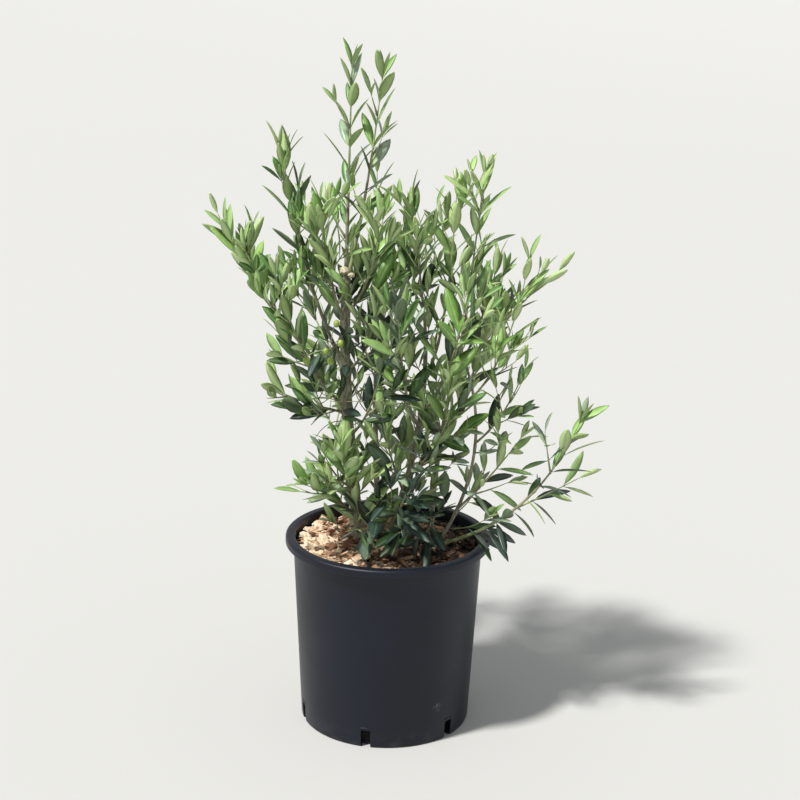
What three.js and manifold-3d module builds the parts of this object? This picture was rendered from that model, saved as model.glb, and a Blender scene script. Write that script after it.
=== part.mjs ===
// A young olive tree in a round nursery pot: a clump of five slender stems with boughs and leafy shoots.
// Millimetres, +Z up. The origin is the centre of the pot's flat underside, and -Y is the front.
// The plant is modelled in a group of its own, whose origin is on the soil above the pot's centre.
import * as THREE from 'three';
import { mergeVertices } from 'three/addons/utils/BufferGeometryUtils.js';
import Module from 'manifold-3d';

const wasm = await Module();
wasm.setup();

// Clearance between pieces that meet.
const GAP = 0.3;

// Pot
const POT_HEIGHT = 285;
const RIM_RADIUS = 150;
const LIP_WIDTH = 11;
const LIP_DROP = 12;
const BASE_RADIUS = 125;
const WALL = 2.8;
const FLOOR = 4;
const EDGE = 3;
const POT_SIDES = 36;

// Drain slots through the pot's lower corner
const SLOTS = 6;
const SLOT_WIDTH = 14;
const SLOT_HEIGHT = 27;
const SLOT_DEPTH = 16;
const FIRST_SLOT = THREE.MathUtils.degToRad(-102);

// Potting mix: flat round the stems, then falling gently to the pot's wall
const SOIL_LEVEL = 266;
const SOIL_FLAT = 92;
const SOIL_FALL = 5;

// Stems, from the flat cut on the soil to the fork or tip: places are [x, y], heights are over the soil.
const STEMS = [
  { name: 'trunk', foot: [-40, 15], top: [-66, 7], height: 415, sway: [-9, 0], base: 9.5, tip: 6 },
  { name: 'middle', foot: [-8, 0], top: [48, 8], height: 324, sway: [18, 0], base: 5.4, tip: 2.8 },
  { name: 'right', foot: [62, 30], top: [103, 20], height: 319, sway: [-8, 0], base: 4.2, tip: 2.4 },
  { name: 'outer', foot: [62, -16], top: [104, -8], height: 286, sway: [38, 0], base: 2.8, tip: 1.8 },
  { name: 'back', foot: [-12, 50], top: [-20, 95], height: 334, sway: [-6, 4], base: 5, tip: 2.6 },
];
const FLARE = 0.55;
const FLARE_HEIGHT = 16;
const STEM_DEPTH = 8;
const STEM_SIDES = 8;
const STEM_STEPS = 6;

// Branches. Each row gives the branch's name and its stem, the height above the soil where it leaves the
// stem, where it goes (its heading in degrees, 0 to the right and 90 to the back, then its reach outwards and
// its rise), how it bows (over 0 it goes out before it climbs), the share of it that is a bare bough, the
// length of its side shoots, and how its leaves lift (under 0 they droop). The first rows find room first.
const BRANCHES = [
  ['fruiting_spray', 'trunk', 302, 250, 78, 8, -0.3, 0, 40, -0.2],
  ['heart_left', 'trunk', 262, -48, 64, 96, 0.5, 0, 46, 0.1],
  ['heart_right', 'right', 150, -86, 100, 112, 0.4, 0, 46, 0.1],
  ['centre_skirt', 'trunk', 164, -67, 110, 110, 0.3, 0.25, 44, 0],
  ['low_centre_right', 'middle', 104, -48, 74, 94, 0.2, 0, 44, 0],
  ['low_left_tuft', 'trunk', 84, 244, 84, 68, 0.3, 0, 42, 0.2],
  ['foot_left', 'middle', 16, 239, 100, 38, -0.3, 0, 34, -0.1],
  ['right_spire', 'right', 319, -45, 28, 215, 0, 0, 44, 0.2],
  ['left_wing', 'trunk', 234, 191, 176, 245, 0.2, 0.38, 52, 0.3],
  ['left_spire', 'trunk', 264, 186, 92, 300, 0.25, 0.3, 48, 0.2],
  ['left_shoulder', 'trunk', 204, 217, 118, 195, 0.3, 0.35, 50, 0.3],
  ['left_skirt', 'trunk', 199, 202, 108, 43, 0.2, 0, 44, 0],
  ['leader', 'trunk', 415, -50, 8, 274, 0, 0, 36, 0.1],
  ['leader_fork', 'trunk', 386, -14, 47, 278, 0.2, 0.3, 36, 0.1],
  ['crown_left', 'trunk', 334, 239, 62, 165, 0.4, 0, 46, 0.2],
  ['crown_front', 'trunk', 344, -57, 92, 140, 0.4, 0, 48, 0.2],
  ['crown_middle', 'middle', 324, 233, 35, 180, 0, 0, 48, 0.2],
  ['inner_spire', 'middle', 254, -2, 38, 250, 0.6, 0.3, 44, 0.2],
  ['right_shoulder', 'outer', 234, -20, 72, 190, 0.4, 0, 46, 0.2],
  ['right_wing', 'right', 240, 2, 137, 161, -0.15, 0.35, 50, 0.3],
  ['right_front', 'middle', 204, -61, 116, 185, 0.4, 0.3, 48, 0.1],
  ['centre_front', 'middle', 184, -106, 118, 190, 0.5, 0.3, 48, 0.1],
  ['right_skirt', 'outer', 164, -8, 62, 100, 0.3, 0, 44, 0],
  ['right_low', 'outer', 64, -11, 80, 102, 0.1, 0, 44, -0.2],
  ['low_arm', 'outer', 8, -16, 196, 194, 0.45, 0.35, 84, 0],
  ['low_left', 'trunk', 50, -102, 91, 115, 0.2, 0, 46, 0.2],
  ['low_left_fan', 'trunk', 34, 234, 104, 78, -0.2, 0, 46, 0.2],
  ['foot_right', 'outer', 16, 232, 84, 36, -0.3, 0, 34, -0.1],
  ['foot_middle', 'middle', 34, -80, 98, 76, 0, 0, 42, 0],
  ['low_centre', 'middle', 84, 242, 66, 120, 0.2, 0, 44, 0.1],
  ['back_left_upper', 'back', 294, 160, 112, 175, 0.3, 0.3, 48, 0.2],
  ['back_top', 'back', 334, 100, 34, 180, 0, 0, 48, 0.2],
  ['back_right_upper', 'back', 274, 36, 100, 190, 0.3, 0.3, 48, 0.2],
  ['back_left', 'back', 174, 132, 166, 150, 0.2, 0.3, 54, 0.1],
  ['back_middle', 'back', 194, 89, 142, 150, 0.2, 0, 54, 0.1],
  ['back_right', 'right', 134, 62, 158, 165, 0.2, 0.3, 54, 0.1],
  ['back_low_left', 'back', 64, 136, 120, 100, 0.1, 0, 50, 0],
  ['back_low_right', 'back', 54, 52, 124, 95, 0.1, 0, 50, 0],
  ['right_back', 'right', 250, 48, 92, 150, 0.3, 0, 46, 0.2],
];
const OLIVES = { fruiting_spray: 5 };
const BRANCH_TIP = 0.9;
const BRANCH_BASE = 1.5;
const BRANCH_GROWTH = 1 / 190;
const BOUGH_SIDES = 5;
const BOUGH_STEPS = 3;
const TWIG_SIDES = 3;
const SEED = 20011;
const SEED_STEP = 7919;

// Leaves and side shoots. The leaves are somewhat larger than life, as a share of them stands for all.
const INTERNODE = 37;
const LEAF_LENGTH = 64;
const LEAF_WIDTH = 19;
const LEAF_THICKNESS = 1.2;
const LEAF_BELLY = 0.48;
const LEAF_SINK = 2.5;
const LEAF_ROOM = 0.3;
const LEAF_ANGLE_FOOT = 1.05;
const LEAF_ANGLE_TIP = 0.42;
const SIDE_ANGLE = 0.8;
const SIDE_LIFT = 0.3;
const OLIVE_RADIUS = 5;
const OLIVE_STALK = 14;
const OLIVE_OVAL = 1.25;
const OLIVE_TURN = 2.4;

// Colours
const FINISHES = {
  pot: { color: 0x25282d, roughness: 0.5, metalness: 0 },
  soil: { color: 0x6e523a, roughness: 0.95, metalness: 0 },
  bark: { color: 0x7c7464, roughness: 0.9, metalness: 0 },
  leaf: { color: 0x6f8c55, roughness: 0.6, metalness: 0 },
};

const UP = new THREE.Vector3(0, 0, 1);
const RIGHT = new THREE.Vector3(1, 0, 0);
const STEEP = 0.9;
const QUARTER = Math.PI / 2;

// Seeded chance, between 0 and 1, so that the plant always grows the same.
function dice(seed) {
  let state = seed;
  return () => {
    state = (state * 48271) % 2147483647;
    return state / 2147483647;
  };
}

// A closed geometry as a solid that can be cut and joined.
function solid(geometry) {
  geometry.deleteAttribute('normal');
  geometry.deleteAttribute('uv');
  const merged = mergeVertices(geometry);
  return new wasm.Manifold(new wasm.Mesh({
    numProp: 3,
    vertProperties: new Float32Array(merged.attributes.position.array),
    triVerts: new Uint32Array(merged.index.array),
  }));
}

// A named mesh from a solid.
function mesh(name, body, finish) {
  const { vertProperties, triVerts } = body.getMesh();
  const geometry = new THREE.BufferGeometry();
  geometry.setAttribute('position', new THREE.BufferAttribute(vertProperties, 3));
  geometry.setIndex(new THREE.BufferAttribute(triVerts, 1));
  geometry.computeVertexNormals();
  const piece = new THREE.Mesh(geometry, new THREE.MeshStandardMaterial(FINISHES[finish]));
  piece.name = name;
  return piece;
}

// A solid turned about the Z axis from its profile of [radius, height] points.
function turned(profile) {
  const points = profile.map(([radius, height]) => new THREE.Vector2(radius, height));
  return solid(new THREE.LatheGeometry(points, POT_SIDES).rotateX(QUARTER));
}

// Outer radius of the pot's body at a height.
function bodyRadius(height) {
  const top = RIM_RADIUS - LIP_WIDTH;
  return BASE_RADIUS + (top - BASE_RADIUS) * height / POT_HEIGHT;
}

function makePot() {
  const underLip = POT_HEIGHT - WALL;
  const innerTop = RIM_RADIUS - LIP_WIDTH - WALL;
  let pot = turned([
    [0, 0],
    [BASE_RADIUS - EDGE, 0],
    [bodyRadius(EDGE), EDGE],
    [bodyRadius(underLip), underLip],
    [RIM_RADIUS - WALL, underLip],
    [RIM_RADIUS - WALL, POT_HEIGHT - LIP_DROP],
    [RIM_RADIUS, POT_HEIGHT - LIP_DROP],
    [RIM_RADIUS, POT_HEIGHT - EDGE],
    [RIM_RADIUS - 0.3 * EDGE, POT_HEIGHT - 0.3 * EDGE],
    [RIM_RADIUS - EDGE, POT_HEIGHT],
    [innerTop + 1, POT_HEIGHT],
    [innerTop, POT_HEIGHT - 1],
    [bodyRadius(FLOOR) - WALL, FLOOR],
    [0, FLOOR],
  ]);
  for (let i = 0; i < SLOTS; i += 1) {
    const slot = new THREE.BoxGeometry(SLOT_DEPTH, SLOT_WIDTH, SLOT_HEIGHT + 1);
    slot.translate(BASE_RADIUS - WALL, 0, (SLOT_HEIGHT - 1) / 2);
    slot.rotateZ(FIRST_SLOT + i * 2 * Math.PI / SLOTS);
    pot = pot.subtract(solid(slot));
  }
  return pot;
}

function makeSoil() {
  const inside = (height) => bodyRadius(height) - WALL - GAP;
  const floor = FLOOR + GAP;
  const edge = SOIL_LEVEL - SOIL_FALL;
  return turned([
    [0, floor],
    [inside(floor), floor],
    [inside(edge), edge],
    [SOIL_FLAT, SOIL_LEVEL],
    [0, SOIL_LEVEL],
  ]);
}

// Points evenly along a curve, each with its direction and a side direction carried along without twist.
function stations(curve, steps) {
  const marks = [];
  let side = Math.abs(curve.getTangentAt(0).z) > STEEP ? RIGHT : UP;
  for (let i = 0; i <= steps; i += 1) {
    const point = curve.getPointAt(i / steps);
    const along = curve.getTangentAt(i / steps);
    side = side.clone().projectOnPlane(along).normalize();
    marks.push({ point, along, side });
  }
  return marks;
}

// A round, tapering limb along a curve. radius(t) is its radius from the foot, t = 0, to the tip, t = 1.
function limb(curve, radius, sides, steps) {
  const geometry = new THREE.CylinderGeometry(1, 1, 1, sides, steps);
  const place = geometry.attributes.position;
  const marks = stations(curve, steps);
  for (let i = 0; i < place.count; i += 1) {
    const step = Math.round((place.getY(i) + 0.5) * steps);
    const { point, along, side } = marks[step];
    const across = side.clone().cross(along);
    const size = radius(step / steps);
    const spot = point.clone();
    spot.addScaledVector(side, place.getX(i) * size);
    spot.addScaledVector(across, place.getZ(i) * size);
    place.setXYZ(i, spot.x, spot.y, spot.z);
  }
  return solid(geometry);
}

// The two parts of a bowed line, before and after a share of it.
function split(curve, share) {
  const first = curve.v0.clone().lerp(curve.v1, share);
  const last = curve.v1.clone().lerp(curve.v2, share);
  const middle = first.clone().lerp(last, share);
  return [
    new THREE.QuadraticBezierCurve3(curve.v0, first, middle),
    new THREE.QuadraticBezierCurve3(middle, last, curve.v2),
  ];
}

// A bowed line whose foot or tip is moved along itself.
function shifted(curve, atFoot, atTip) {
  const foot = curve.v0.clone().addScaledVector(curve.getTangent(0), atFoot);
  const tip = curve.v2.clone().addScaledVector(curve.getTangent(1), atTip);
  return new THREE.QuadraticBezierCurve3(foot, curve.v1, tip);
}

// The line of a stem, which starts a little under the soil so that a level cut can take its end off.
function stemCurve(stem) {
  const foot = new THREE.Vector3(...stem.foot, -STEM_DEPTH);
  const top = new THREE.Vector3(...stem.top, stem.height);
  const middle = foot.clone().lerp(top, 0.5).add(new THREE.Vector3(...stem.sway, 0).multiplyScalar(2));
  return new THREE.QuadraticBezierCurve3(foot, middle, top);
}

// How far along a stem a height is, as a share of it.
function shareAt(stem, height) {
  return (height + STEM_DEPTH) / (stem.height + STEM_DEPTH);
}

function stemRadius(stem, share) {
  const height = share * (stem.height + STEM_DEPTH) - STEM_DEPTH;
  const taper = stem.base + (stem.tip - stem.base) * share;
  return taper + stem.base * FLARE * Math.exp(-Math.max(0, height) / FLARE_HEIGHT);
}

// The line of a branch, from the middle of its stem to its tip.
function branchCurve(branch, stem) {
  const foot = stem.curve.getPoint(shareAt(stem, branch.height));
  const heading = THREE.MathUtils.degToRad(branch.heading);
  const out = new THREE.Vector3(Math.cos(heading), Math.sin(heading), 0);
  const along = (reach, rise) => foot.clone().addScaledVector(out, reach).addScaledVector(UP, rise);
  const bend = along(branch.reach * (0.5 + branch.bow / 2), branch.rise * (0.5 - branch.bow / 2));
  return new THREE.QuadraticBezierCurve3(foot, bend, along(branch.reach, branch.rise));
}

// Room: every limb, twig and leaf is also kept as thick lines, which tell what is free.
const taken = [];

function occupy(owner, from, to, radius) {
  taken.push({ owner, line: new THREE.Line3(from.clone(), to.clone()), radius });
}

function isFree(owner, from, to, radius) {
  const line = new THREE.Line3(from, to);
  return taken.every((other) => {
    const room = radius + other.radius + GAP;
    return other.owner === owner || line.distanceSqToLine3(other.line) > room * room;
  });
}

// Height that a leaf or twig stays above, over the soil, over the pot's rim and outside the pot.
function lowest(point) {
  const radius = Math.hypot(point.x, point.y);
  if (radius > RIM_RADIUS + 12) {
    return -60;
  }
  return radius > bodyRadius(SOIL_LEVEL) - 16 ? POT_HEIGHT - SOIL_LEVEL + 3 : 3;
}

// Whether a point is in a mass's own space: near its main shoot and above what lies under it.
function inSpace(mass, point, radius) {
  if (point.z - radius < lowest(point)) {
    return false;
  }
  const near = new THREE.Vector3();
  return mass.lines.some((line) => {
    line.closestPointToPoint(point, true, near);
    return near.distanceTo(point) < mass.branch.side + LEAF_LENGTH;
  });
}

// One leaf: two slim three-sided points back to back, with a margin on either hand and the midrib below.
function leafSolid(leaf) {
  const shape = new THREE.SphereGeometry(1, 3, 2);
  const place = shape.attributes.position;
  const width = leaf.face.clone().cross(leaf.heading);
  for (let i = 0; i < place.count; i += 1) {
    const share = Math.round(place.getY(i));
    const length = share === 0 ? LEAF_BELLY : (1 + share) / 2;
    const spot = leaf.root.clone().addScaledVector(leaf.heading, leaf.length * length);
    spot.addScaledVector(leaf.face, place.getX(i) * LEAF_THICKNESS / 1.5);
    spot.addScaledVector(width, place.getZ(i) * leaf.size * LEAF_WIDTH / Math.sqrt(3));
    place.setXYZ(i, spot.x, spot.y, spot.z);
  }
  return solid(shape);
}

function addLeaf(mass, mark, outward, age) {
  const angle = LEAF_ANGLE_TIP + (LEAF_ANGLE_FOOT - LEAF_ANGLE_TIP) * age + 0.35 * (mass.roll() - 0.5);
  const size = (0.84 + 0.32 * mass.roll()) * (0.78 + 0.22 * Math.min(1, 2.5 * age));
  const twist = 1.1 * (mass.roll() - 0.5);
  const heading = mark.along.clone().multiplyScalar(Math.cos(angle));
  heading.addScaledVector(outward, Math.sin(angle));
  heading.addScaledVector(UP, mass.branch.lift).normalize();
  const face = mark.along.clone().addScaledVector(UP, 0.5).projectOnPlane(heading).normalize();
  face.applyAxisAngle(heading, twist);
  const length = LEAF_LENGTH * size;
  const root = mark.point.clone().addScaledVector(mark.along, -LEAF_SINK);
  const near = root.clone().addScaledVector(heading, 0.2 * length);
  const far = root.clone().addScaledVector(heading, 0.85 * length);
  const tip = root.clone().addScaledVector(heading, length);
  const room = LEAF_ROOM * LEAF_WIDTH * size;
  if (inSpace(mass, tip, 1) && inSpace(mass, far, room / 2) && isFree(mass.owner, near, far, room)) {
    mass.leaves.push({ root, heading, face, length, size });
    occupy(mass.owner, near, far, room);
  }
}

function addSideShoot(mass, mark, outward, age, thickness, reach) {
  const length = reach * (0.6 + 0.4 * age) * (0.8 + 0.4 * mass.roll());
  const heading = mark.along.clone().multiplyScalar(Math.cos(SIDE_ANGLE));
  heading.addScaledVector(outward, Math.sin(SIDE_ANGLE)).addScaledVector(UP, SIDE_LIFT).normalize();
  const tip = mark.point.clone().addScaledVector(heading, length);
  const phase = mass.roll();
  if (inSpace(mass, tip, 1) && isFree(mass.owner, mark.point, tip, thickness)) {
    const curve = new THREE.LineCurve3(mark.point, tip);
    mass.twigs.push({ curve, from: thickness, to: BRANCH_TIP });
    occupy(mass.owner, mark.point, tip, thickness);
    growShoot(mass, curve, thickness, 0, phase);
  }
}

// A shoot bears pairs of leaves, each pair turned a quarter from the last, and side shoots in every other
// axil, to one hand and then the other.
function growShoot(mass, curve, thickness, reach, phase) {
  const pairs = Math.max(1, Math.round(curve.getLength() / INTERNODE));
  const marks = stations(curve, pairs);
  for (let k = 1; k <= pairs; k += 1) {
    const age = 1 - k / pairs;
    const turn = (phase + 0.16 * (mass.roll() - 0.5)) * Math.PI + k * QUARTER;
    const outward = marks[k].side.clone().applyAxisAngle(marks[k].along, turn);
    const inward = outward.clone().negate();
    addLeaf(mass, marks[k], outward, age);
    addLeaf(mass, marks[k], inward, age);
    if (reach > 0 && k < pairs && k % 2 === 1) {
      addSideShoot(mass, marks[k], outward, age, 0.7 * thickness, reach);
    }
  }
}

// One olive hanging on its stalk from a point on a shoot.
function oliveSolid(from, outward) {
  const hang = outward.clone().multiplyScalar(0.6).addScaledVector(UP, -0.8);
  const centre = from.clone().addScaledVector(hang, OLIVE_STALK);
  const fruit = new THREE.IcosahedronGeometry(OLIVE_RADIUS, 0).scale(1, 1, OLIVE_OVAL);
  fruit.translate(centre.x, centre.y, centre.z);
  const stalk = limb(new THREE.LineCurve3(from, centre), () => BRANCH_TIP, 3, 1);
  return stalk.add(solid(fruit));
}

const olive = new THREE.Group();
olive.add(mesh('pot', makePot(), 'pot'));
olive.add(mesh('potting_mix', makeSoil(), 'soil'));

const plant = new THREE.Group();
plant.position.z = SOIL_LEVEL;
olive.add(plant);

// Stems, cut level on the soil
const ground = new THREE.BoxGeometry(2 * RIM_RADIUS, 2 * RIM_RADIUS, RIM_RADIUS);
const underSoil = solid(ground.translate(0, 0, GAP - RIM_RADIUS / 2));
for (const stem of STEMS) {
  stem.curve = stemCurve(stem);
  const radius = (share) => stemRadius(stem, share);
  const marks = stations(stem.curve, STEM_STEPS);
  for (let i = 1; i <= STEM_STEPS; i += 1) {
    occupy(stem.name, marks[i - 1].point, marks[i].point, radius((i - 1) / STEM_STEPS));
  }
  const body = limb(stem.curve, radius, STEM_SIDES, STEM_STEPS).subtract(underSoil);
  plant.add(mesh(`${stem.name}_stem`, body, 'bark'));
  stem.sleeve = limb(shifted(stem.curve, 0, GAP), (share) => radius(share) + GAP, STEM_SIDES, STEM_STEPS);
}

// Boughs, and the main shoot of each leafy mass. They all claim their room before the first leaf grows.
const masses = BRANCHES.map((row, index) => {
  const [name, from, height, heading, reach, rise, bow, bare, side, lift] = row;
  const branch = { name, height, heading, reach, rise, bow, bare, side, lift };
  const stem = STEMS.find((other) => other.name === from);
  const curve = branchCurve(branch, stem);
  const atStem = stemRadius(stem, shareAt(stem, branch.height));
  const base = Math.min(BRANCH_BASE + BRANCH_GROWTH * curve.getLength(), 0.8 * atStem);
  const thickness = base + (BRANCH_TIP - base) * branch.bare;
  const mass = { branch, stem, curve, thickness, owner: name, twigs: [], leaves: [] };
  mass.roll = dice(SEED + SEED_STEP * index);
  if (branch.bare > 0) {
    const [bough, shoot] = split(curve, branch.bare);
    const body = limb(bough, (share) => base + (thickness - base) * share, BOUGH_SIDES, BOUGH_STEPS);
    plant.add(mesh(`${branch.name}_bough`, body.subtract(stem.sleeve), 'bark'));
    const marks = stations(bough, BOUGH_STEPS);
    for (let i = 1; i <= BOUGH_STEPS; i += 1) {
      occupy(`${branch.name}_bough`, marks[i - 1].point, marks[i].point, base);
    }
    mass.curve = shifted(shoot, GAP, 0);
  }
  mass.steps = Math.max(2, Math.round(mass.curve.getLength() / INTERNODE));
  const marks = stations(mass.curve, mass.steps);
  mass.lines = marks.slice(1).map((mark, i) => new THREE.Line3(marks[i].point, mark.point));
  mass.lines.forEach((line) => occupy(mass.owner, line.start, line.end, thickness));
  return mass;
});

// Leafy masses. A leaf that would still cross a mass grown before it is left out.
const grown = [];
for (const mass of masses) {
  const { branch, thickness } = mass;
  growShoot(mass, mass.curve, thickness, branch.side, mass.roll());
  const taper = (from) => (share) => from + (BRANCH_TIP - from) * share;
  let body = limb(mass.curve, taper(thickness), TWIG_SIDES, mass.steps);
  if (branch.bare === 0) {
    body = body.subtract(mass.stem.sleeve);
  }
  for (const twig of mass.twigs) {
    body = body.add(limb(twig.curve, taper(twig.from), TWIG_SIDES, 1));
  }
  for (const leaf of mass.leaves) {
    const blade = leafSolid(leaf);
    if (grown.every((other) => other.intersect(blade).isEmpty())) {
      body = body.add(blade);
    }
  }
  const olives = OLIVES[branch.name] ?? 0;
  const marks = stations(mass.curve, olives + 1);
  for (let i = 1; i <= olives; i += 1) {
    const around = marks[i].side.clone().applyAxisAngle(marks[i].along, i * OLIVE_TURN);
    body = body.add(oliveSolid(marks[i].point, around));
  }
  grown.push(body);
  plant.add(mesh(`${branch.name}_leaves`, body, 'leaf'));
}

export default olive;
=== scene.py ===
"""A young olive tree in a round nursery pot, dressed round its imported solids. +Z up, -Y the front.

Growth is worked out in millimetres over the soil, as in the part's source, and meshes are in metres.
"""

import math
from collections import namedtuple

import bmesh
import bpy
import numpy as np
from mathutils import Matrix, Vector, noise


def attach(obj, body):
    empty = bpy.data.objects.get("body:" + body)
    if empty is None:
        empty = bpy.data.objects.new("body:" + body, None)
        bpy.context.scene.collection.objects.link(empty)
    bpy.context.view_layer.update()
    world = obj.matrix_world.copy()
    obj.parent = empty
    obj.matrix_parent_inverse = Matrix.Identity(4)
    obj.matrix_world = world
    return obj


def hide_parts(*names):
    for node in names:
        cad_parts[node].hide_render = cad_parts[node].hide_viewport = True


MM = 0.001
UP = np.array([0.0, 0.0, 1.0])
RIGHT = np.array([1.0, 0.0, 0.0])

# Pot and potting mix, in millimetres
POT_HEIGHT = 285
RIM_RADIUS = 150
LIP_WIDTH = 11
LIP_DROP = 12
BASE_RADIUS = 125
WALL = 2.8
FLOOR = 4
SLOTS = 6
SLOT_WIDTH = 14
SLOT_HEIGHT = 27
FIRST_SLOT = math.radians(-102)
SOIL_LEVEL = 266
SOIL_FLAT = 92
SOIL_FALL = 5

# Stems: name, foot, top, height, sway, base radius, tip radius
STEMS = {
    "trunk": ((-40, 15), (-66, 7), 415, (-9, 0), 9.5, 6),
    "middle": ((-8, 0), (48, 8), 324, (18, 0), 5.4, 2.8),
    "right": ((62, 30), (103, 20), 319, (-8, 0), 4.2, 2.4),
    "outer": ((62, -16), (104, -8), 286, (38, 0), 2.8, 1.8),
    "back": ((-12, 50), (-20, 95), 334, (-6, 4), 5, 2.6),
}
FLARE = 0.55
FLARE_HEIGHT = 16
STEM_DEPTH = 8
STEM_STEPS = 6

# Branches: name, stem, height at which it leaves, heading in degrees, reach, rise, bow, bare share,
# length of its side shoots, and lift of its leaves
BRANCHES = (
    ("fruiting_spray", "trunk", 302, 250, 78, 8, -0.3, 0, 40, -0.2),
    ("heart_left", "trunk", 262, -48, 64, 96, 0.5, 0, 46, 0.1),
    ("heart_right", "right", 150, -86, 100, 112, 0.4, 0, 46, 0.1),
    ("centre_skirt", "trunk", 164, -67, 110, 110, 0.3, 0.25, 44, 0),
    ("low_centre_right", "middle", 104, -48, 74, 94, 0.2, 0, 44, 0),
    ("low_left_tuft", "trunk", 84, 244, 84, 68, 0.3, 0, 42, 0.2),
    ("foot_left", "middle", 16, 239, 100, 38, -0.3, 0, 34, -0.1),
    ("right_spire", "right", 319, -45, 28, 215, 0, 0, 44, 0.2),
    ("left_wing", "trunk", 234, 191, 176, 245, 0.2, 0.38, 52, 0.3),
    ("left_spire", "trunk", 264, 186, 92, 300, 0.25, 0.3, 48, 0.2),
    ("left_shoulder", "trunk", 204, 217, 118, 195, 0.3, 0.35, 50, 0.3),
    ("left_skirt", "trunk", 199, 202, 108, 43, 0.2, 0, 44, 0),
    ("leader", "trunk", 415, -50, 8, 274, 0, 0, 36, 0.1),
    ("leader_fork", "trunk", 386, -14, 47, 278, 0.2, 0.3, 36, 0.1),
    ("crown_left", "trunk", 334, 239, 62, 165, 0.4, 0, 46, 0.2),
    ("crown_front", "trunk", 344, -57, 92, 140, 0.4, 0, 48, 0.2),
    ("crown_middle", "middle", 324, 233, 35, 180, 0, 0, 48, 0.2),
    ("inner_spire", "middle", 254, -2, 38, 250, 0.6, 0.3, 44, 0.2),
    ("right_shoulder", "outer", 234, -20, 72, 190, 0.4, 0, 46, 0.2),
    ("right_wing", "right", 240, 2, 137, 161, -0.15, 0.35, 50, 0.3),
    ("right_front", "middle", 204, -61, 116, 185, 0.4, 0.3, 48, 0.1),
    ("centre_front", "middle", 184, -106, 118, 190, 0.5, 0.3, 48, 0.1),
    ("right_skirt", "outer", 164, -8, 62, 100, 0.3, 0, 44, 0),
    ("right_low", "outer", 64, -11, 80, 102, 0.1, 0, 44, -0.2),
    ("low_arm", "outer", 8, -16, 196, 194, 0.45, 0.35, 84, 0),
    ("low_left", "trunk", 50, -102, 91, 115, 0.2, 0, 46, 0.2),
    ("low_left_fan", "trunk", 34, 234, 104, 78, -0.2, 0, 46, 0.2),
    ("foot_right", "outer", 16, 232, 84, 36, -0.3, 0, 34, -0.1),
    ("foot_middle", "middle", 34, -80, 98, 76, 0, 0, 42, 0),
    ("low_centre", "middle", 84, 242, 66, 120, 0.2, 0, 44, 0.1),
    ("back_left_upper", "back", 294, 160, 112, 175, 0.3, 0.3, 48, 0.2),
    ("back_top", "back", 334, 100, 34, 180, 0, 0, 48, 0.2),
    ("back_right_upper", "back", 274, 36, 100, 190, 0.3, 0.3, 48, 0.2),
    ("back_left", "back", 174, 132, 166, 150, 0.2, 0.3, 54, 0.1),
    ("back_middle", "back", 194, 89, 142, 150, 0.2, 0, 54, 0.1),
    ("back_right", "right", 134, 62, 158, 165, 0.2, 0.3, 54, 0.1),
    ("back_low_left", "back", 64, 136, 120, 100, 0.1, 0, 50, 0),
    ("back_low_right", "back", 54, 52, 124, 95, 0.1, 0, 50, 0),
    ("right_back", "right", 250, 48, 92, 150, 0.3, 0, 46, 0.2),
)
GAP = 0.3
BRANCH_TIP = 0.9
BRANCH_BASE = 1.5
BRANCH_GROWTH = 1 / 190
THICKEST_BRANCH = 0.8
BOUGH_STEPS = 3
SEED = 20011
SEED_STEP = 7919

# Leaves and side shoots of the solids, with their angles in radians
INTERNODE = 37
SOLID_LEAF = 64
SOLID_LEAF_WIDTH = 19
SOLID_ROOM = 0.3
SOLID_LEAF_SPAN = (0.2, 0.85)
LEAF_ANGLE_FOOT = 1.05
LEAF_ANGLE_TIP = 0.42
SIDE_ANGLE = 0.8
SIDE_LIFT = 0.3
SIDE_THICKNESS = 0.7
STEEP = 0.9
QUARTER = math.pi / 2
PHASE_SPREAD = 0.16

# Leaves and fine twigs of life size
LEAF_LENGTH = 57
LEAF_WIDTH = 16.5
LEAF_STEP = 23
LEAF_SPAN = (0.28, 0.9)
LEAF_ROOM = 0.2
LEAF_ASPECT = 1.15
FINE_ROOM = 1.7
FINE_SEED = 50021

# Fine side shoots: spacing along the branch, turn from the solid's, play of their angle, how much
# longer they grow than the solid's, their greatest length, and their rise and thickness as shares
FINE_INTERNODE = INTERNODE / 2
FINE_TURN = 0.8
FINE_ANGLE_ROOM = 0.15
FINE_REACH = 12
LONGEST_FINE_SHOOT = 62
FINE_RISE = 0.12
FINE_THICKNESS = 0.5

# The finer twigs in the axils of a side shoot that is long enough: their length and their frequency
SHORTEST_FORKED_SHOOT = 34
FORK_REACH = (16, 32)
FORK_SHARE = 0.7

# A shoot on a stem, in shares: where on the stem's radius it starts, how far out and up it bends and
# ends, and how much of its foot is in the stem's room
SPROUT_FOOT = 0.6
SPROUT_BEND = (0.45, 0.22)
SPROUT_TIP = (0.72, 1)
SPROUT_CLEAR = 0.3

# Main shoots, side shoots and their twigs: spacing and size of the leaves, and the bare share
ORDER_SPACING = (1, 0.9, 0.8)
ORDER_SIZE = (1, 0.94, 0.84)
ORDER_BARE = (0.12, 0.2, 0.2)

# Radii of the twigs at their tips and feet, with the green share and the sides of a main twig
TWIG_TIP = 0.5
MAIN_TWIG_TIP = 0.55
MAIN_TWIG_GREEN = 0.55
MAIN_TWIG_SIDES = 7
FINE_TWIG = 0.8
STEM_SHOOT = 1.1
BARE_TWIG_TIP = 0.4

# How far a branch grows on past the solid's tip, and a side shoot onward and upward. The leading shoot
# stops sooner, at the plant's height.
TIP_GROWTH = 14
LEADER_GROWTH = 4
SHOOT_GROWTH = 6
SHOOT_LIFT = 5

# How much higher the mulch lies at the left wall
MULCH_HEAP = 6

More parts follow.
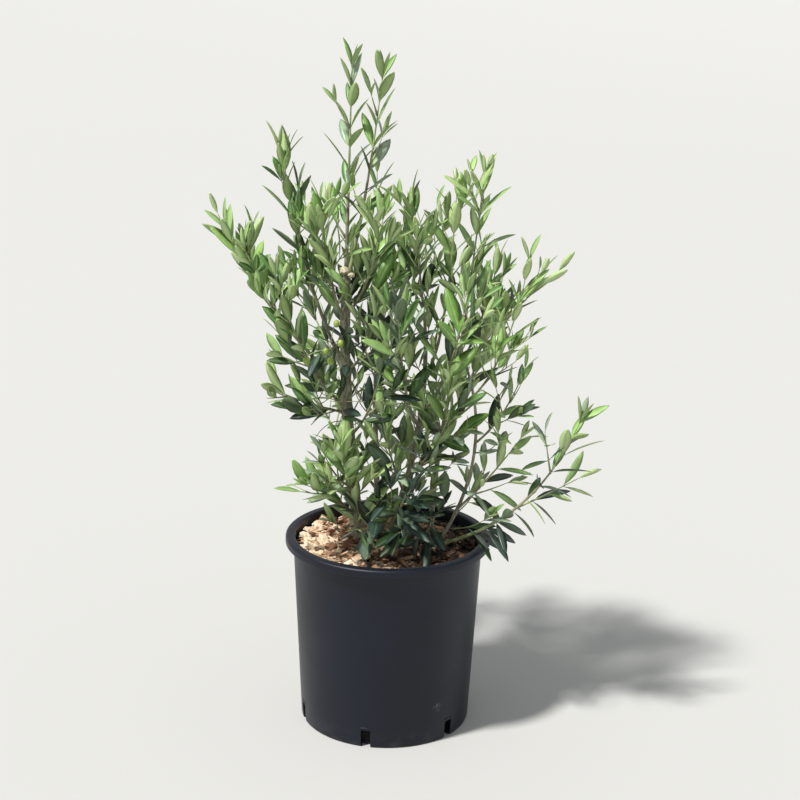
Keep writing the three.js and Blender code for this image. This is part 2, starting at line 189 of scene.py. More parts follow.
# Olives of the fruiting spray: the share of the shoot where the stalk starts, and how far the olive
# hangs from there to the right, the back and up
OLIVE_SPOTS = (
    (0.75, 8, -4, 37),
    (0.65, 11, -8, 8),
    (0.85, -3, -12, 0),
    (0.8, 2, -6, -16),
    (0.9, -28, -2, -15),
)
OLIVE_RADIUS = 5
OLIVE_OVAL = 1.2
OLIVE_POINT = 0.7
OLIVE_DIMPLE = 0.8
OLIVE_TILT = 0.5
OLIVE_SEED = 771

# The pruned stub near the trunk's top, as a share of its height, with the place and radius of its lumps
KNOT_SHARE = 0.985
CALLUSES = (((-2, -2, 1), 7.2), ((8, -5, -5), 5.2))
CALLUS_SHAPE = np.array([1.0, 1.0, 0.75])

# Ways in which the knot and the olives stay free of leaves: where each starts and ends, and its radius
OPEN_OWNER = -500
TO_THE_FRONT = np.array([0.0, -0.96, 0.28])
TO_THE_LIGHT = np.array([-0.42, -0.3, 0.86])
KNOT_OPENING = (20, 110, 12)
OLIVE_OPENING = (6, 90, 9)


# Growth


class Dice:
    """Seeded chance, between 0 and 1, so that the plant always grows the same."""

    def __init__(self, seed):
        self.state = seed

    def roll(self):
        self.state = self.state * 48271 % 2147483647
        return self.state / 2147483647

    def between(self, low, high):
        return low + (high - low) * self.roll()

    def spread(self, width):
        """Up to half the width to either side of 0."""
        return width * (self.roll() - 0.5)


def unit(vector):
    return vector / math.sqrt(vector @ vector)


def on_plane(vector, normal):
    """The part of a vector that lies across a normal, at unit length."""
    return unit(vector - normal * (vector @ normal))


def level_way(degrees):
    angle = math.radians(degrees)
    return np.array([math.cos(angle), math.sin(angle), 0.0])


def rotated(vector, axis, angle):
    cos = math.cos(angle)
    sin = math.sin(angle)
    return vector * cos + np.cross(axis, vector) * sin + axis * (axis @ vector) * (1 - cos)


class Bow:
    """A line from foot to tip, drawn aside by its bend, with its length measured along it."""

    SHARES = np.linspace(0, 1, 201)

    def __init__(self, foot, bend, tip):
        self.foot = foot
        self.bend = bend
        self.tip = tip
        t = self.SHARES[:, None]
        points = (1 - t) ** 2 * foot + 2 * t * (1 - t) * bend + t**2 * tip
        steps = np.linalg.norm(np.diff(points, axis=0), axis=1)
        self.lengths = np.concatenate([[0], np.cumsum(steps)])
        self.length = self.lengths[-1]

    def point(self, t):
        return (1 - t) ** 2 * self.foot + 2 * t * (1 - t) * self.bend + t**2 * self.tip

    def heading(self, t):
        return unit((1 - t) * (self.bend - self.foot) + t * (self.tip - self.bend))

    def share(self, u):
        return float(np.interp(u * self.length, self.lengths, self.SHARES))

    def split(self, t):
        first = self.foot + (self.bend - self.foot) * t
        last = self.bend + (self.tip - self.bend) * t
        middle = first + (last - first) * t
        return Bow(self.foot, first, middle), Bow(middle, last, self.tip)


def straight(foot, tip):
    return Bow(foot, (foot + tip) / 2, tip)


# A place on a line, with the line's direction and a side direction that doesn't twist along it
Mark = namedtuple("Mark", "point along side")


def stations(line, steps):
    """Marks at even steps along a line."""
    marks = []
    side = RIGHT if abs(line.heading(0)[2]) > STEEP else UP
    for i in range(steps + 1):
        t = line.share(i / steps)
        along = line.heading(t)
        side = on_plane(side, along)
        marks.append(Mark(line.point(t), along, side))
    return marks


def around(mark, angle):
    """The way out from a line at a mark, at an angle from its side direction."""
    return math.cos(angle) * mark.side + math.sin(angle) * np.cross(mark.side, mark.along)


class Room:
    """Every limb, twig and leaf as thick lines, which tell what is free."""

    MOST = 60000
    TINY = 1e-9

    def __init__(self):
        self.count = 0
        self.foot = np.zeros((self.MOST, 3))
        self.tip = np.zeros((self.MOST, 3))
        self.radius = np.zeros(self.MOST)
        self.owner = np.zeros(self.MOST, int)

    def claim(self, owner, foot, tip, radius):
        """Takes the room for a line where it is free, and tells whether it was."""
        free = self.is_free(owner, foot, tip, radius)
        if free:
            self.take(owner, foot, tip, radius)
        return free

    def take(self, owner, foot, tip, radius):
        self.foot[self.count] = foot
        self.tip[self.count] = tip
        self.radius[self.count] = radius
        self.owner[self.count] = owner
        self.count += 1

    def is_free(self, owner, foot, tip, radius):
        """Whether a thick line stays clear of all the others, from the nearest points of each two."""
        n = self.count
        if n == 0:
            return True
        line = tip - foot
        lines = self.tip[:n] - self.foot[:n]
        apart = foot - self.foot[:n]
        a = line @ line
        e = (lines * lines).sum(1) + self.TINY**2
        f = (lines * apart).sum(1)
        c = apart @ line
        b = lines @ line
        below = a * e - b * b
        s = np.clip((b * f - c * e) / np.maximum(below, self.TINY), 0, 1)
        s = np.where(below > self.TINY, s, 0)
        t = (b * s + f) / e
        s = np.where(t < 0, np.clip(-c / a, 0, 1), np.where(t > 1, np.clip((b - c) / a, 0, 1), s))
        t = np.clip(t, 0, 1)
        gap = apart + s[:, None] * line - t[:, None] * lines
        need = radius + self.radius[:n] + GAP
        return bool(np.all((self.owner[:n] == owner) | ((gap * gap).sum(1) > need * need)))


def body_radius(height):
    """Outer radius of the pot's body at a height."""
    return BASE_RADIUS + (RIM_RADIUS - LIP_WIDTH - BASE_RADIUS) * height / POT_HEIGHT


# Least height of a leaf over what is under it, how far in and out from the rim that is the rim, and how
# far a leaf may hang below the soil's level outside the pot
LEAF_CLEARANCE = 3
RIM_INSIDE = 16
RIM_OUTSIDE = 12
OVERHANG = 60


def lowest(point):
    """Height that a leaf stays above, over the soil, over the rim and outside the pot."""
    radius = math.hypot(point[0], point[1])
    if radius > RIM_RADIUS + RIM_OUTSIDE:
        return -OVERHANG
    if radius > body_radius(SOIL_LEVEL) - RIM_INSIDE:
        return POT_HEIGHT - SOIL_LEVEL + LEAF_CLEARANCE
    return LEAF_CLEARANCE


class Stem:
    """A stem's bowed line and its radius along it, flared at the soil."""

    def __init__(self, name, foot, top, height, sway, base, tip):
        self.name = name
        self.height = height
        self.base = base
        self.tip = tip
        foot = np.array([*foot, -STEM_DEPTH], float)
        top = np.array([*top, height], float)
        self.line = Bow(foot, (foot + top) / 2 + 2 * np.array([*sway, 0.0]), top)

    def share_at(self, height):
        return (height + STEM_DEPTH) / (self.height + STEM_DEPTH)

    def radius(self, share):
        height = share * (self.height + STEM_DEPTH) - STEM_DEPTH
        taper = self.base + (self.tip - self.base) * share
        return taper + self.base * FLARE * math.exp(-max(0, height) / FLARE_HEIGHT)


class Mass:
    """One leafy branch: its bare bough, if any, its main shoot, and the side shoots of the solids."""

    def __init__(self, index, row, stems):
        self.name, stem, height, heading, reach, rise, bow, self.bare, self.side, self.lift = row
        self.index = index
        self.stem = stems[stem]
        foot = self.stem.line.point(self.stem.share_at(height))
        out = level_way(heading)
        bend = foot + out * reach * (0.5 + bow / 2) + UP * rise * (0.5 - bow / 2)
        whole = Bow(foot, bend, foot + out * reach + UP * rise)
        at_stem = self.stem.radius(self.stem.share_at(height))
        self.base = min(BRANCH_BASE + BRANCH_GROWTH * whole.length, THICKEST_BRANCH * at_stem)
        self.thickness = self.base + (BRANCH_TIP - self.base) * self.bare
        self.bough = None
        self.line = whole
        if self.bare > 0:
            self.bough, shoot = whole.split(self.bare)
            self.line = Bow(shoot.foot + shoot.heading(0) * GAP, shoot.bend, shoot.tip)
        self.steps = max(2, round_half_up(self.line.length / INTERNODE))
        marks = stations(self.line, self.steps)
        self.main = [(a.point, b.point) for a, b in zip(marks, marks[1:])]
        self.dice = Dice(SEED + SEED_STEP * index)
        self.twigs = []
        self.spacing, self.leaf_size, self.bushy, more_lift, self.droop = GROWTH.get(self.name, USUAL)
        self.fine_lift = self.lift + more_lift

    def holds(self, point, radius):
        """Whether a point is in the branch's own space."""
        if point[2] - radius < lowest(point):
            return False
        for foot, tip in self.main:
            line = tip - foot
            t = min(1, max(0, (point - foot) @ line / (line @ line)))
            gap = point - foot - t * line
            if math.sqrt(gap @ gap) < self.side + SOLID_LEAF:
                return True
        return False


def round_half_up(value):
    return math.floor(value + 0.5)


def leaf_angle(age):
    """A leaf stands out more the older it is. Age is 0 at a shoot's tip and 1 at its foot."""
    return LEAF_ANGLE_TIP + (LEAF_ANGLE_FOOT - LEAF_ANGLE_TIP) * age


def leaf_heading(mark, outward, angle, lift):
    heading = mark.along * math.cos(angle) + outward * math.sin(angle)
    return unit(heading + UP * lift)


def grow_solid_leaf(room, mass, mark, outward, age):
    """The room that a leaf of the solids takes, so that the side shoots grow as they do there."""
    angle = leaf_angle(age) + mass.dice.spread(0.35)
    size = mass.dice.between(0.84, 1.16) * (0.78 + 0.22 * min(1, 2.5 * age))
    # The solid's leaf draws its twist here.
    mass.dice.roll()
    heading = leaf_heading(mark, outward, angle, mass.lift)
    root = mark.point - mark.along * 2.5
    length = SOLID_LEAF * size
    near, far = [root + heading * share * length for share in SOLID_LEAF_SPAN]
    width = SOLID_ROOM * SOLID_LEAF_WIDTH * size
    if mass.holds(root + heading * length, 1) and mass.holds(far, width / 2):
        room.claim(mass.index, near, far, width)


def grow_solid_shoot(room, mass, line, thickness, reach, phase):
    """A shoot of the solids with its leaves in pairs, and with side shoots at every other pair."""
    dice = mass.dice
    pairs = max(1, round_half_up(line.length / INTERNODE))
    marks = stations(line, pairs)
    side_thickness = SIDE_THICKNESS * thickness
    for k in range(1, pairs + 1):
        age = 1 - k / pairs
        turn = (phase + dice.spread(PHASE_SPREAD)) * math.pi + k * QUARTER
        outward = rotated(marks[k].side, marks[k].along, turn)
        grow_solid_leaf(room, mass, marks[k], outward, age)
        grow_solid_leaf(room, mass, marks[k], -outward, age)
        if reach > 0 and k < pairs and k % 2 == 1:
            length = reach * (0.6 + 0.4 * age) * dice.between(0.8, 1.2)
            heading = leaf_heading(marks[k], outward, SIDE_ANGLE, SIDE_LIFT)
            foot = marks[k].point
            tip = foot + heading * length
            side_phase = dice.roll()
            if mass.holds(tip, 1) and room.claim(mass.index, foot, tip, side_thickness):
                mass.twigs.append((foot, tip, heading, side_thickness, side_phase))
                grow_solid_shoot(room, mass, straight(foot, tip), side_thickness, 0, side_phase)


def limbs_in(room, stems, masses):
    """Stems, boughs and main shoots take their room before anything else grows."""
    for number, stem in enumerate(stems.values()):
        marks = stations(stem.line, STEM_STEPS)
        for i in range(1, STEM_STEPS + 1):
            radius = stem.radius((i - 1) / STEM_STEPS)
            room.take(-1 - number, marks[i - 1].point, marks[i].point, radius)
    for mass in masses:
        if mass.bough:
            marks = stations(mass.bough, BOUGH_STEPS)
            for i in range(1, BOUGH_STEPS + 1):
                room.take(-100 - mass.index, marks[i - 1].point, marks[i].point, mass.base)
        for foot, tip in mass.main:
            room.take(mass.index, foot, tip, mass.thickness)


# Fine growth of a branch: the spacing of its leaves and their size, as multiples of the usual, how
# readily it bears fine side shoots, between 0 and 1, how much more its leaves lift, and how much its
# old ones droop. The branches that aren't listed grow as USUAL.
USUAL = (1.12, 1.0, 0.5, 0.05, 0.0)
GROWTH = {
    "leader": (1.22, 1.0, 0.0, 0.0, 0.0),
    "leader_fork": (1.4, 1.0, 0.0, 0.0, 0.0),
    "left_spire": (1.05, 1.0, 0.35, 0.0, 0.0),
    "left_wing": (1.0, 1.0, 0.55, 0.1, 0.0),
    "left_skirt": (1.1, 1.05, 0.9, 0.3, 0.0),
    "right_spire": (1.2, 1.0, 0.25, 0.0, 0.0),
    "inner_spire": (1.2, 1.0, 0.3, 0.0, 0.0),
    "right_wing": (1.45, 0.95, 0.0, 0.1, 0.0),
    "right_shoulder": (1.3, 1.0, 0.3, 0.05, 0.0),
    "right_front": (1.25, 1.05, 0.45, 0.0, 0.0),
    "right_skirt": (1.15, 0.9, 0.4, 0.0, 0.4),
    "right_low": (1.3, 1.02, 0.35, 0.0, 0.6),
    "low_arm": (1.2, 1.05, 0.15, 0.0, 0.9),
    "low_centre_right": (1.1, 1.0, 0.5, 0.15, 0.4),
    "fruiting_spray": (1.3, 1.0, 0.1, -0.1, 0.0),
    "crown_left": (1.0, 1.05, 0.65, 0.05, 0.0),
    "crown_front": (1.25, 1.1, 0.5, 0.05, 0.0),
    "crown_middle": (1.25, 1.05, 0.45, 0.05, 0.0),
    "heart_left": (1.25, 1.1, 0.45, 0.0, 0.0),
    "heart_right": (1.25, 1.05, 0.4, 0.0, 0.0),
    "centre_front": (1.15, 1.1, 0.6, 0.0, 0.0),
    "centre_skirt": (1.2, 1.0, 0.45, 0.0, 0.3),
    "low_centre": (1.2, 1.08, 0.45, 0.2, 0.3),
    "back_top": (1.2, 1.0, 0.4, 0.05, 0.0),
    "back_left_upper": (1.2, 1.0, 0.4, 0.05, 0.0),
    "back_right_upper": (1.2, 1.0, 0.4, 0.05, 0.0),
    "low_left": (1.5, 1.3, 0.45, 0.0, 0.0),
    "low_left_fan": (1.5, 1.3, 0.4, 0.0, 0.0),
    "low_left_tuft": (1.35, 1.15, 0.3, -0.25, 0.0),
    "back_low_left": (1.5, 0.95, 0.1, -0.15, 0.5),
    "foot_left": (1.35, 1.15, 0.3, -0.35, 0.2),
    "foot_right": (1.25, 1.05, 0.4, -0.35, 0.2),
    "foot_middle": (1.3, 1.1, 0.4, -0.3, 0.2),
}

# Short shoots that stand out of a stem: the stem, the branch whose space they share, their height over
# the soil, their heading in degrees, their length, and their rise as a share of it
STEM_SHOOTS = (
    ("trunk", "fruiting_spray", 322, -62, 46, 0.55),
    ("trunk", "fruiting_spray", 284, -112, 40, 0.55),
    ("trunk", "heart_left", 268, -86, 52, 0.55),
    ("trunk", "heart_left", 240, -122, 48, 0.55),
    ("trunk", "left_shoulder", 222, -66, 50, 0.55),
    ("trunk", "centre_skirt", 200, -104, 54, 0.55),
    ("trunk", "centre_skirt", 176, -84, 44, 0.55),
    ("trunk", "low_left_tuft", 118, -64, 42, 0.4),
    ("trunk", "low_left", 44, -58, 56, 0.3),
    ("trunk", "low_left_fan", 26, -128, 60, 0.25),
    ("trunk", "low_left", 74, -84, 56, 1.0),
    ("trunk", "low_left", 20, -92, 62, 0.9),
    ("trunk", "low_left_tuft", 100, -108, 50, 1.0),
    ("trunk", "low_left", 10, -48, 64, 0.6),
    ("trunk", "low_left_tuft", 128, 84, 60, 0.7),
    ("trunk", "centre_skirt", 188, 98, 66, 0.7),
    ("trunk", "heart_left", 232, 66, 66, 0.7),
    ("trunk", "fruiting_spray", 290, 96, 66, 0.8),
    ("trunk", "crown_left", 344, 78, 64, 0.9),
    ("middle", "low_centre", 112, 92, 62, 0.7),
    ("middle", "low_centre", 168, 70, 62, 0.7),
    ("middle", "low_centre_right", 62, -18, 60, 0.5),
    ("middle", "crown_middle", 286, 84, 62, 0.8),
    ("back", "back_low_left", 92, -108, 64, 0.6),
    ("back", "back_middle", 134, -76, 68, 0.6),
    ("back", "back_middle", 176, -124, 70, 0.7),
    ("back", "back_middle", 218, -62, 70, 0.7),
    ("back", "back_middle", 258, -104, 68, 0.8),
    ("back", "back_top", 304, -72, 70, 0.9),
    ("right", "right_low", 112, -64, 62, 0.35),
    ("right", "heart_right", 184, 40, 58, 0.6),
    ("outer", "right_low", 58, 44, 58, 0.5),
    ("outer", "right_low", 92, -64, 62, 0.3),
    ("outer", "right_skirt", 150, -48, 58, 0.4),
    ("outer", "low_arm", 34, -28, 78, 0.3),
    ("trunk", "left_skirt", 226, 196, 58, 0.35),
    ("trunk", "left_skirt", 212, 150, 60, 0.2),
    ("trunk", "crown_left", 372, 200, 56, 0.9),
    ("trunk", "crown_left", 396, -130, 54, 1.0),
    ("middle", "centre_front", 232, -52, 58, 0.6),
    ("middle", "centre_front", 262, -112, 56, 0.6),
    ("middle", "crown_middle", 214, -28, 60, 0.5),
)

# Pairs of old leaves that hang from a bough: the branch, and the share of its bough
BOUGH_PAIRS = (("low_arm", 0.58), ("low_arm", 0.78), ("low_arm", 0.98))

# Thin twigs without leaves: foot, bend and tip
BARE_TWIGS = (
    ((-63, -4, 190), (-88, -14, 199), (-106, -20, 171)),
    ((46, -26, 224), (-20, -52, 236), (-84, -44, 232)),
    ((30, -20, 262), (8, -52, 282), (-34, -58, 276)),
)

# Openings beside or between the leaves, seen from the front: how far each lies to the right of the
# pot's axis, its height over the soil and its radius
OPENINGS = (
    (-198, 300, 13),
    (-201, 259, 16),
    (-176, 198, 12),
    (-150, 179, 13),
    (-125, 160, 11),
    (-184, 458, 7),
    (-211, 389, 8),
    (-191, 359, 8),
    (15, 537, 6),
    (51, 518, 9),
    (145, 489, 9),
    (218, 312, 15),
    (215, 253, 18),
    (216, 208, 9),
    (148, 91, 9),
    (-198, 226, 15),
    (-164, 104, 12),
    (-85, 15, 14),
    (-61, -4, 10),
)

# Where the camera stands over the soil, and how far an opening reaches before and behind the pot's axis
VIEWPOINT = np.array([14.0, -2400.0, 930.0])
CROWN_DEPTH = 230


# A leaf's root, heading, the way its upper side faces, its sizes, and what its colours come from
Leaf = namedtuple("Leaf", "root heading face length width curl spray age chance")

# The leaves of one shoot, which share their colours
Spray = namedtuple("Spray", "mass order chance")

# A line with its radius at the foot and the tip, and the share of it that is still green
Twig = namedtuple("Twig", "line foot tip green sides", defaults=[5])


class Plant:
    """The plant in full: twigs and leaves that grow on the limbs of the solids."""

    def __init__(self):
        self.stems = {name: Stem(name, *row) for name, row in STEMS.items()}
        self.masses = [Mass(i, row, self.stems) for i, row in enumerate(BRANCHES)]
        self.leaves = []
        self.twigs = []
        self.olives = []
        self.grow_side_shoots()
        self.room = Room()
        self.blades = Room()
        limbs_in(self.room, self.stems, self.masses)
        for mass in self.masses:
            for foot, tip, _, thickness, _ in mass.twigs:
                self.room.take(mass.index, foot, tip, thickness)
        self.hang_olives()
        self.leave_openings()
        self.grow_bare_twigs()
        for mass in self.masses:
            self.dress(mass)
        self.hang_on_boughs()
        self.sprout_on_stems()

    def mass_named(self, name):
        return next(mass for mass in self.masses if mass.name == name)

    def keep_open(self, foot, tip, radius):
        self.room.take(OPEN_OWNER, foot, tip, radius)

    def grow_side_shoots(self):
        """The side shoots of the solids, which the fine growth goes on from."""
        room = Room()
        limbs_in(room, self.stems, self.masses)
        for mass in self.masses:
            mass.phase = mass.dice.roll()
            grow_solid_shoot(room, mass, mass.line, mass.thickness, mass.side, mass.phase)

    def hang_olives(self):
        """The fruiting spray's olives, which the leaves leave open to the front."""
        line = self.mass_named("fruiting_spray").line
        start, end, radius = OLIVE_OPENING
        for share, across, ahead, lift in OLIVE_SPOTS:
            foot = line.point(share)
            centre = foot + np.array([across, ahead, lift], float)
            self.olives.append((foot, centre))
            self.keep_open(centre + start * TO_THE_FRONT, centre + end * TO_THE_FRONT, radius)

    def leave_openings(self):
        """Ways that stay free of leaves: to the knot, and along the line of sight at each opening."""
        knot = self.stems["trunk"].line.point(KNOT_SHARE)
        start, end, radius = KNOT_OPENING
        for way in (TO_THE_FRONT, TO_THE_LIGHT):
            self.keep_open(knot + start * way, knot + end * way, radius)
        for right, height, radius in OPENINGS:
            middle = np.array([right, 0.0, height])
            ahead = CROWN_DEPTH * unit(VIEWPOINT - middle)
            self.keep_open(middle - ahead, middle + ahead, radius)

    def grow_bare_twigs(self):
        for row in BARE_TWIGS:
            line = Bow(*[np.array(point, float) for point in row])
            self.twigs.append(Twig(line, FINE_TWIG, BARE_TWIG_TIP, 0))
            middle = line.point(0.5)
            self.keep_open(line.point(0.1), middle, FINE_TWIG)
            self.keep_open(middle, line.tip, FINE_TWIG)

    def hang_on_boughs(self):
        """Old leaves along a bough, which hang to both its sides."""
        for i, (name, share) in enumerate(BOUGH_PAIRS):
            mass = self.mass_named(name)
            dice = Dice(FINE_SEED - SEED_STEP * (i + 1))
            along = mass.bough.heading(share)
            mark = Mark(mass.bough.point(share), along, on_plane(RIGHT, along))
            spray = Spray(mass, 1, dice.roll())
            level = unit(np.cross(along, UP))
            for hand in (level, -level):
                size = dice.between(0.9, 1.2)
                angle = dice.between(0.5, 0.9)
                curl = dice.between(0.1, 0.18)
                self.leaf(mass, mark, hand, angle, -0.9, size, 0.78, 0.4, curl, spray, 1)

    def sprout_on_stems(self):
        """Short leafy shoots along the stems, where there is room for them."""
        for i, (name, branch, height, heading, length, rise) in enumerate(STEM_SHOOTS):
            stem = self.stems[name]
            mass = self.mass_named(branch)
            dice = Dice(FINE_SEED + SEED_STEP * (len(self.masses) + i))
            share = stem.share_at(height)
            out = level_way(heading)
            foot = stem.line.point(share) + out * SPROUT_FOOT * stem.radius(share)
            bend = foot + (out * SPROUT_BEND[0] + UP * rise * SPROUT_BEND[1]) * length
            tip = foot + (out * SPROUT_TIP[0] + UP * rise * SPROUT_TIP[1]) * length
            clear = foot + (tip - foot) * SPROUT_CLEAR
            phase = dice.roll()
            if self.room.claim(mass.index, clear, tip, 1):
                self.shoot(mass, dice, Bow(foot, bend, tip), STEM_SHOOT, phase, 1)

    def dress(self, mass):
        """A branch in full: its main twig, the solid's side shoots, and finer ones between them."""
        dice = Dice(FINE_SEED + SEED_STEP * mass.index)
        growth = LEADER_GROWTH if mass.name == "leader" else TIP_GROWTH
        tip = mass.line.tip + mass.line.heading(1) * growth
        line = Bow(mass.line.foot, mass.line.bend, tip)
        self.twigs.append(
            Twig(line, mass.thickness, MAIN_TWIG_TIP, MAIN_TWIG_GREEN, MAIN_TWIG_SIDES)
        )
        self.leafy(mass, dice, line, mass.phase, 0)
        for foot, tip, heading, thickness, phase in mass.twigs:
            grown = tip + heading * SHOOT_GROWTH + UP * SHOOT_LIFT
            line = Bow(foot, foot + heading * 0.5 * np.linalg.norm(tip - foot), grown)
            self.shoot(mass, dice, line, thickness, phase, 1)
        nodes = max(2, round_half_up(mass.line.length / FINE_INTERNODE))
        marks = stations(mass.line, nodes)
        for j in range(1, nodes):
            age = 1 - j / nodes
            turn = (mass.phase + dice.spread(0.2)) * math.pi + j * QUARTER + FINE_TURN
            outward = rotated(marks[j].side, marks[j].along, turn)
            angle = dice.between(SIDE_ANGLE - FINE_ANGLE_ROOM, SIDE_ANGLE + FINE_ANGLE_ROOM)
            heading = leaf_heading(marks[j], outward, angle, SIDE_LIFT)
            reach = min(mass.side + FINE_REACH, LONGEST_FINE_SHOOT)
            reach *= (0.5 + 0.5 * age) * dice.between(0.7, 1.2)
            chance = dice.roll()
            phase = dice.roll()
            if chance > mass.bushy:
                continue
            foot = marks[j].point
            tip = foot + heading * reach + UP * FINE_RISE * reach
            thickness = FINE_THICKNESS * (mass.thickness + TWIG_TIP)
            if mass.holds(tip, 1) and self.room.is_free(mass.index, foot + heading * 3, tip, thickness):
                self.room.take(mass.index, foot, tip, thickness)
                line = Bow(foot, foot + heading * 0.5 * reach, tip)
                self.shoot(mass, dice, line, thickness, phase, 1)

    def shoot(self, mass, dice, line, thickness, phase, order):
        """A side shoot with its leaves, and the finer twigs in its lower axils."""
        self.twigs.append(Twig(line, thickness, TWIG_TIP, 1))
        self.leafy(mass, dice, line, phase, order)
        if order > 1 or line.length < SHORTEST_FORKED_SHOOT:
            return
        marks = stations(line, 3)
        for j in (1, 2):
            turn = (phase + dice.roll()) * math.pi + j * QUARTER
            outward = rotated(marks[j].side, marks[j].along, turn)
            heading = unit(marks[j].along * 0.7 + outward * 0.7 + UP * 0.2)
            reach = dice.between(*FORK_REACH)
            next_phase = dice.roll()
            if dice.roll() > FORK_SHARE * mass.bushy:
                continue
            foot = marks[j].point
            tip = foot + heading * reach
            if mass.holds(tip, 1) and self.room.is_free(mass.index, foot + heading * 2, tip, FINE_TWIG):
                self.room.take(mass.index, foot, tip, FINE_TWIG)
                twig = Bow(foot, foot + heading * 0.5 * reach - UP * 0.8, tip)
                self.shoot(mass, dice, twig, FINE_TWIG, next_phase, 2)

    def leafy(self, mass, dice, line, phase, order):
        """Pairs of leaves along a line, each a quarter turn from the last, and a pair at its tip."""
        pairs = max(1, round_half_up(line.length / (LEAF_STEP * mass.spacing * ORDER_SPACING[order])))
        marks = stations(line, pairs)
        spray = Spray(mass, order, dice.roll())
        for k in range(1, pairs + 1):
            age = 1 - k / pairs
            turn = (phase + dice.spread(PHASE_SPREAD)) * math.pi + k * QUARTER
            outward = rotated(marks[k].side, marks[k].along, turn)
            for hand in (outward, -outward):
                angle = leaf_angle(age) * 0.85 + dice.spread(0.45)
                size = dice.between(0.74, 1.18) * (0.7 + 0.3 * min(1, 3 * age))
                slim = dice.between(0.72, 1.16)
                twist = dice.spread(1.3)
                curl = dice.between(0.02, 0.18)
                if age > 1 - ORDER_BARE[order]:
                    continue
                size *= mass.leaf_size * ORDER_SIZE[order]
                lift = mass.fine_lift - mass.droop * age
                self.leaf(mass, marks[k], hand, angle, lift, size, slim, twist, curl, spray, age)
        tip = marks[-1]
        bud = Mark(tip.point + tip.along * 1.5, tip.along, tip.side)
        for i in range(2):
            turn = phase * math.pi + (pairs + 1 + 2 * i) * QUARTER
            outward = rotated(tip.side, tip.along, turn)
            size = dice.between(0.52, 0.7)
            angle = dice.between(0.16, 0.32)
            self.leaf(mass, bud, outward, angle, mass.fine_lift, size, 0.85, 0, 0.03, spray, 0)

    def leaf(self, mass, mark, outward, angle, lift, size, slim, twist, curl, spray, age):
        """A leaf, where it stays in its branch's space and clear of the others."""
        heading = leaf_heading(mark, outward, angle, lift)
        face = rotated(on_plane(mark.along + 0.5 * UP, heading), heading, twist)
        length = LEAF_LENGTH * size
        width = LEAF_WIDTH * slim * size**LEAF_ASPECT
        root = mark.point
        near, far = [root + heading * share * length for share in LEAF_SPAN]
        if not mass.holds(root + heading * length, 0.5):
            return
        if not self.room.is_free(mass.index, near, far, LEAF_ROOM * width):
            return
        if self.blades.is_free(-1, near, far, FINE_ROOM):
            self.blades.take(mass.index, near, far, FINE_ROOM)
            # The last digits of its curl serve as the leaf's own chance, for its colours.
            chance = (1e4 * curl) % 1
            self.leaves.append(Leaf(root, heading, face, length, width, curl, spray, age, chance))


def to_world(points):
    """Millimetres over the soil as metres over the pot's underside."""
    return (np.asarray(points) + np.array([0, 0, SOIL_LEVEL])) * MM


# Materials


def set_inputs(tree, node, inputs):
    """Sets each input of a node to a value, or links it from a socket."""
    for name, value in inputs.items():
        if isinstance(value, bpy.types.NodeSocket):
            tree.links.new(value, node.inputs[name])
        else:
            node.inputs[name].default_value = value


def add_node(tree, kind, inputs, **settings):
    """A node's outputs."""
    made = tree.nodes.new(f"ShaderNode{kind}")
    for name, value in settings.items():
        setattr(made, name, value)
    set_inputs(tree, made, inputs)
    return made.outputs


def place_in(tree):
    return add_node(tree, "TexCoord", {})["Object"]


def noise_in(tree, place, scale, detail, roughness=0.5):
    inputs = {"Vector": place, "Scale": scale, "Detail": detail, "Roughness": roughness}
    return add_node(tree, "TexNoise", inputs)[0]


def ramp(tree, value, start, end, low=0, high=1):
    """Low where a value is at its start or before it, high at its end or past it."""
    inputs = {"Value": value, "From Min": start, "From Max": end, "To Min": low, "To Max": high}
    return add_node(tree, "MapRange", inputs)[0]


def product(tree, first, second):
    return add_node(tree, "Math", {0: first, 1: second}, operation="MULTIPLY")[0]


def blend(tree, share, first, second):
    """The first colour at a share of 0, the second at 1."""
    return add_node(tree, "Mix", {0: share, 6: first, 7: second}, data_type="RGBA")[2]


def bumped(tree, height, strength, depth, **under):
    inputs = {"Height": height, "Strength": strength, "Distance": depth, **under}
    return add_node(tree, "Bump", inputs)["Normal"]


def linear(red, green, blue):
    """A colour as seen, from 0 to 255, as shaders hold it."""
    parts = [c / 255 for c in (red, green, blue)]
    return (*[c / 12.92 if c <= 0.04045 else ((c + 0.055) / 1.055) ** 2.4 for c in parts], 1.0)


def darker(colour, share):
    return (*[c * share for c in colour[:3]], 1.0)


MOTTLE_SOCKETS = (
    ("INPUT", "Colour", "Color"),
    ("INPUT", "Patch Colour", "Color"),
    ("INPUT", "Scale", "Float"),
    ("INPUT", "Grain Scale", "Float"),
    ("OUTPUT", "Colour", "Color"),
    ("OUTPUT", "Height", "Float"),
    ("OUTPUT", "Patches", "Float"),
)


def mottle_group():
    """Two colours mixed in soft patches, with a finer grain for the bump."""
    tree = bpy.data.node_groups.new("mottle", "ShaderNodeTree")
    for way, label, kind in MOTTLE_SOCKETS:
        tree.interface.new_socket(name=label, in_out=way, socket_type=f"NodeSocket{kind}")
    given = tree.nodes.new("NodeGroupInput").outputs
    result = tree.nodes.new("NodeGroupOutput")
    place = place_in(tree)
    patches = ramp(tree, noise_in(tree, place, given["Scale"], 3), 0.38, 0.62)
    colour = blend(tree, patches, given["Colour"], given["Patch Colour"])
    grain = noise_in(tree, place, given["Grain Scale"], 4)
    set_inputs(tree, result, {"Colour": colour, "Height": grain, "Patches": patches})
    return tree


def patchy(tree, mottle, colour, patch, scale, grain):
    """The outputs of the shared group, with its colours and scales set."""
    inputs = {"Colour": colour, "Patch Colour": patch, "Scale": scale, "Grain Scale": grain}
    return add_node(tree, "Group", inputs, node_tree=mottle)


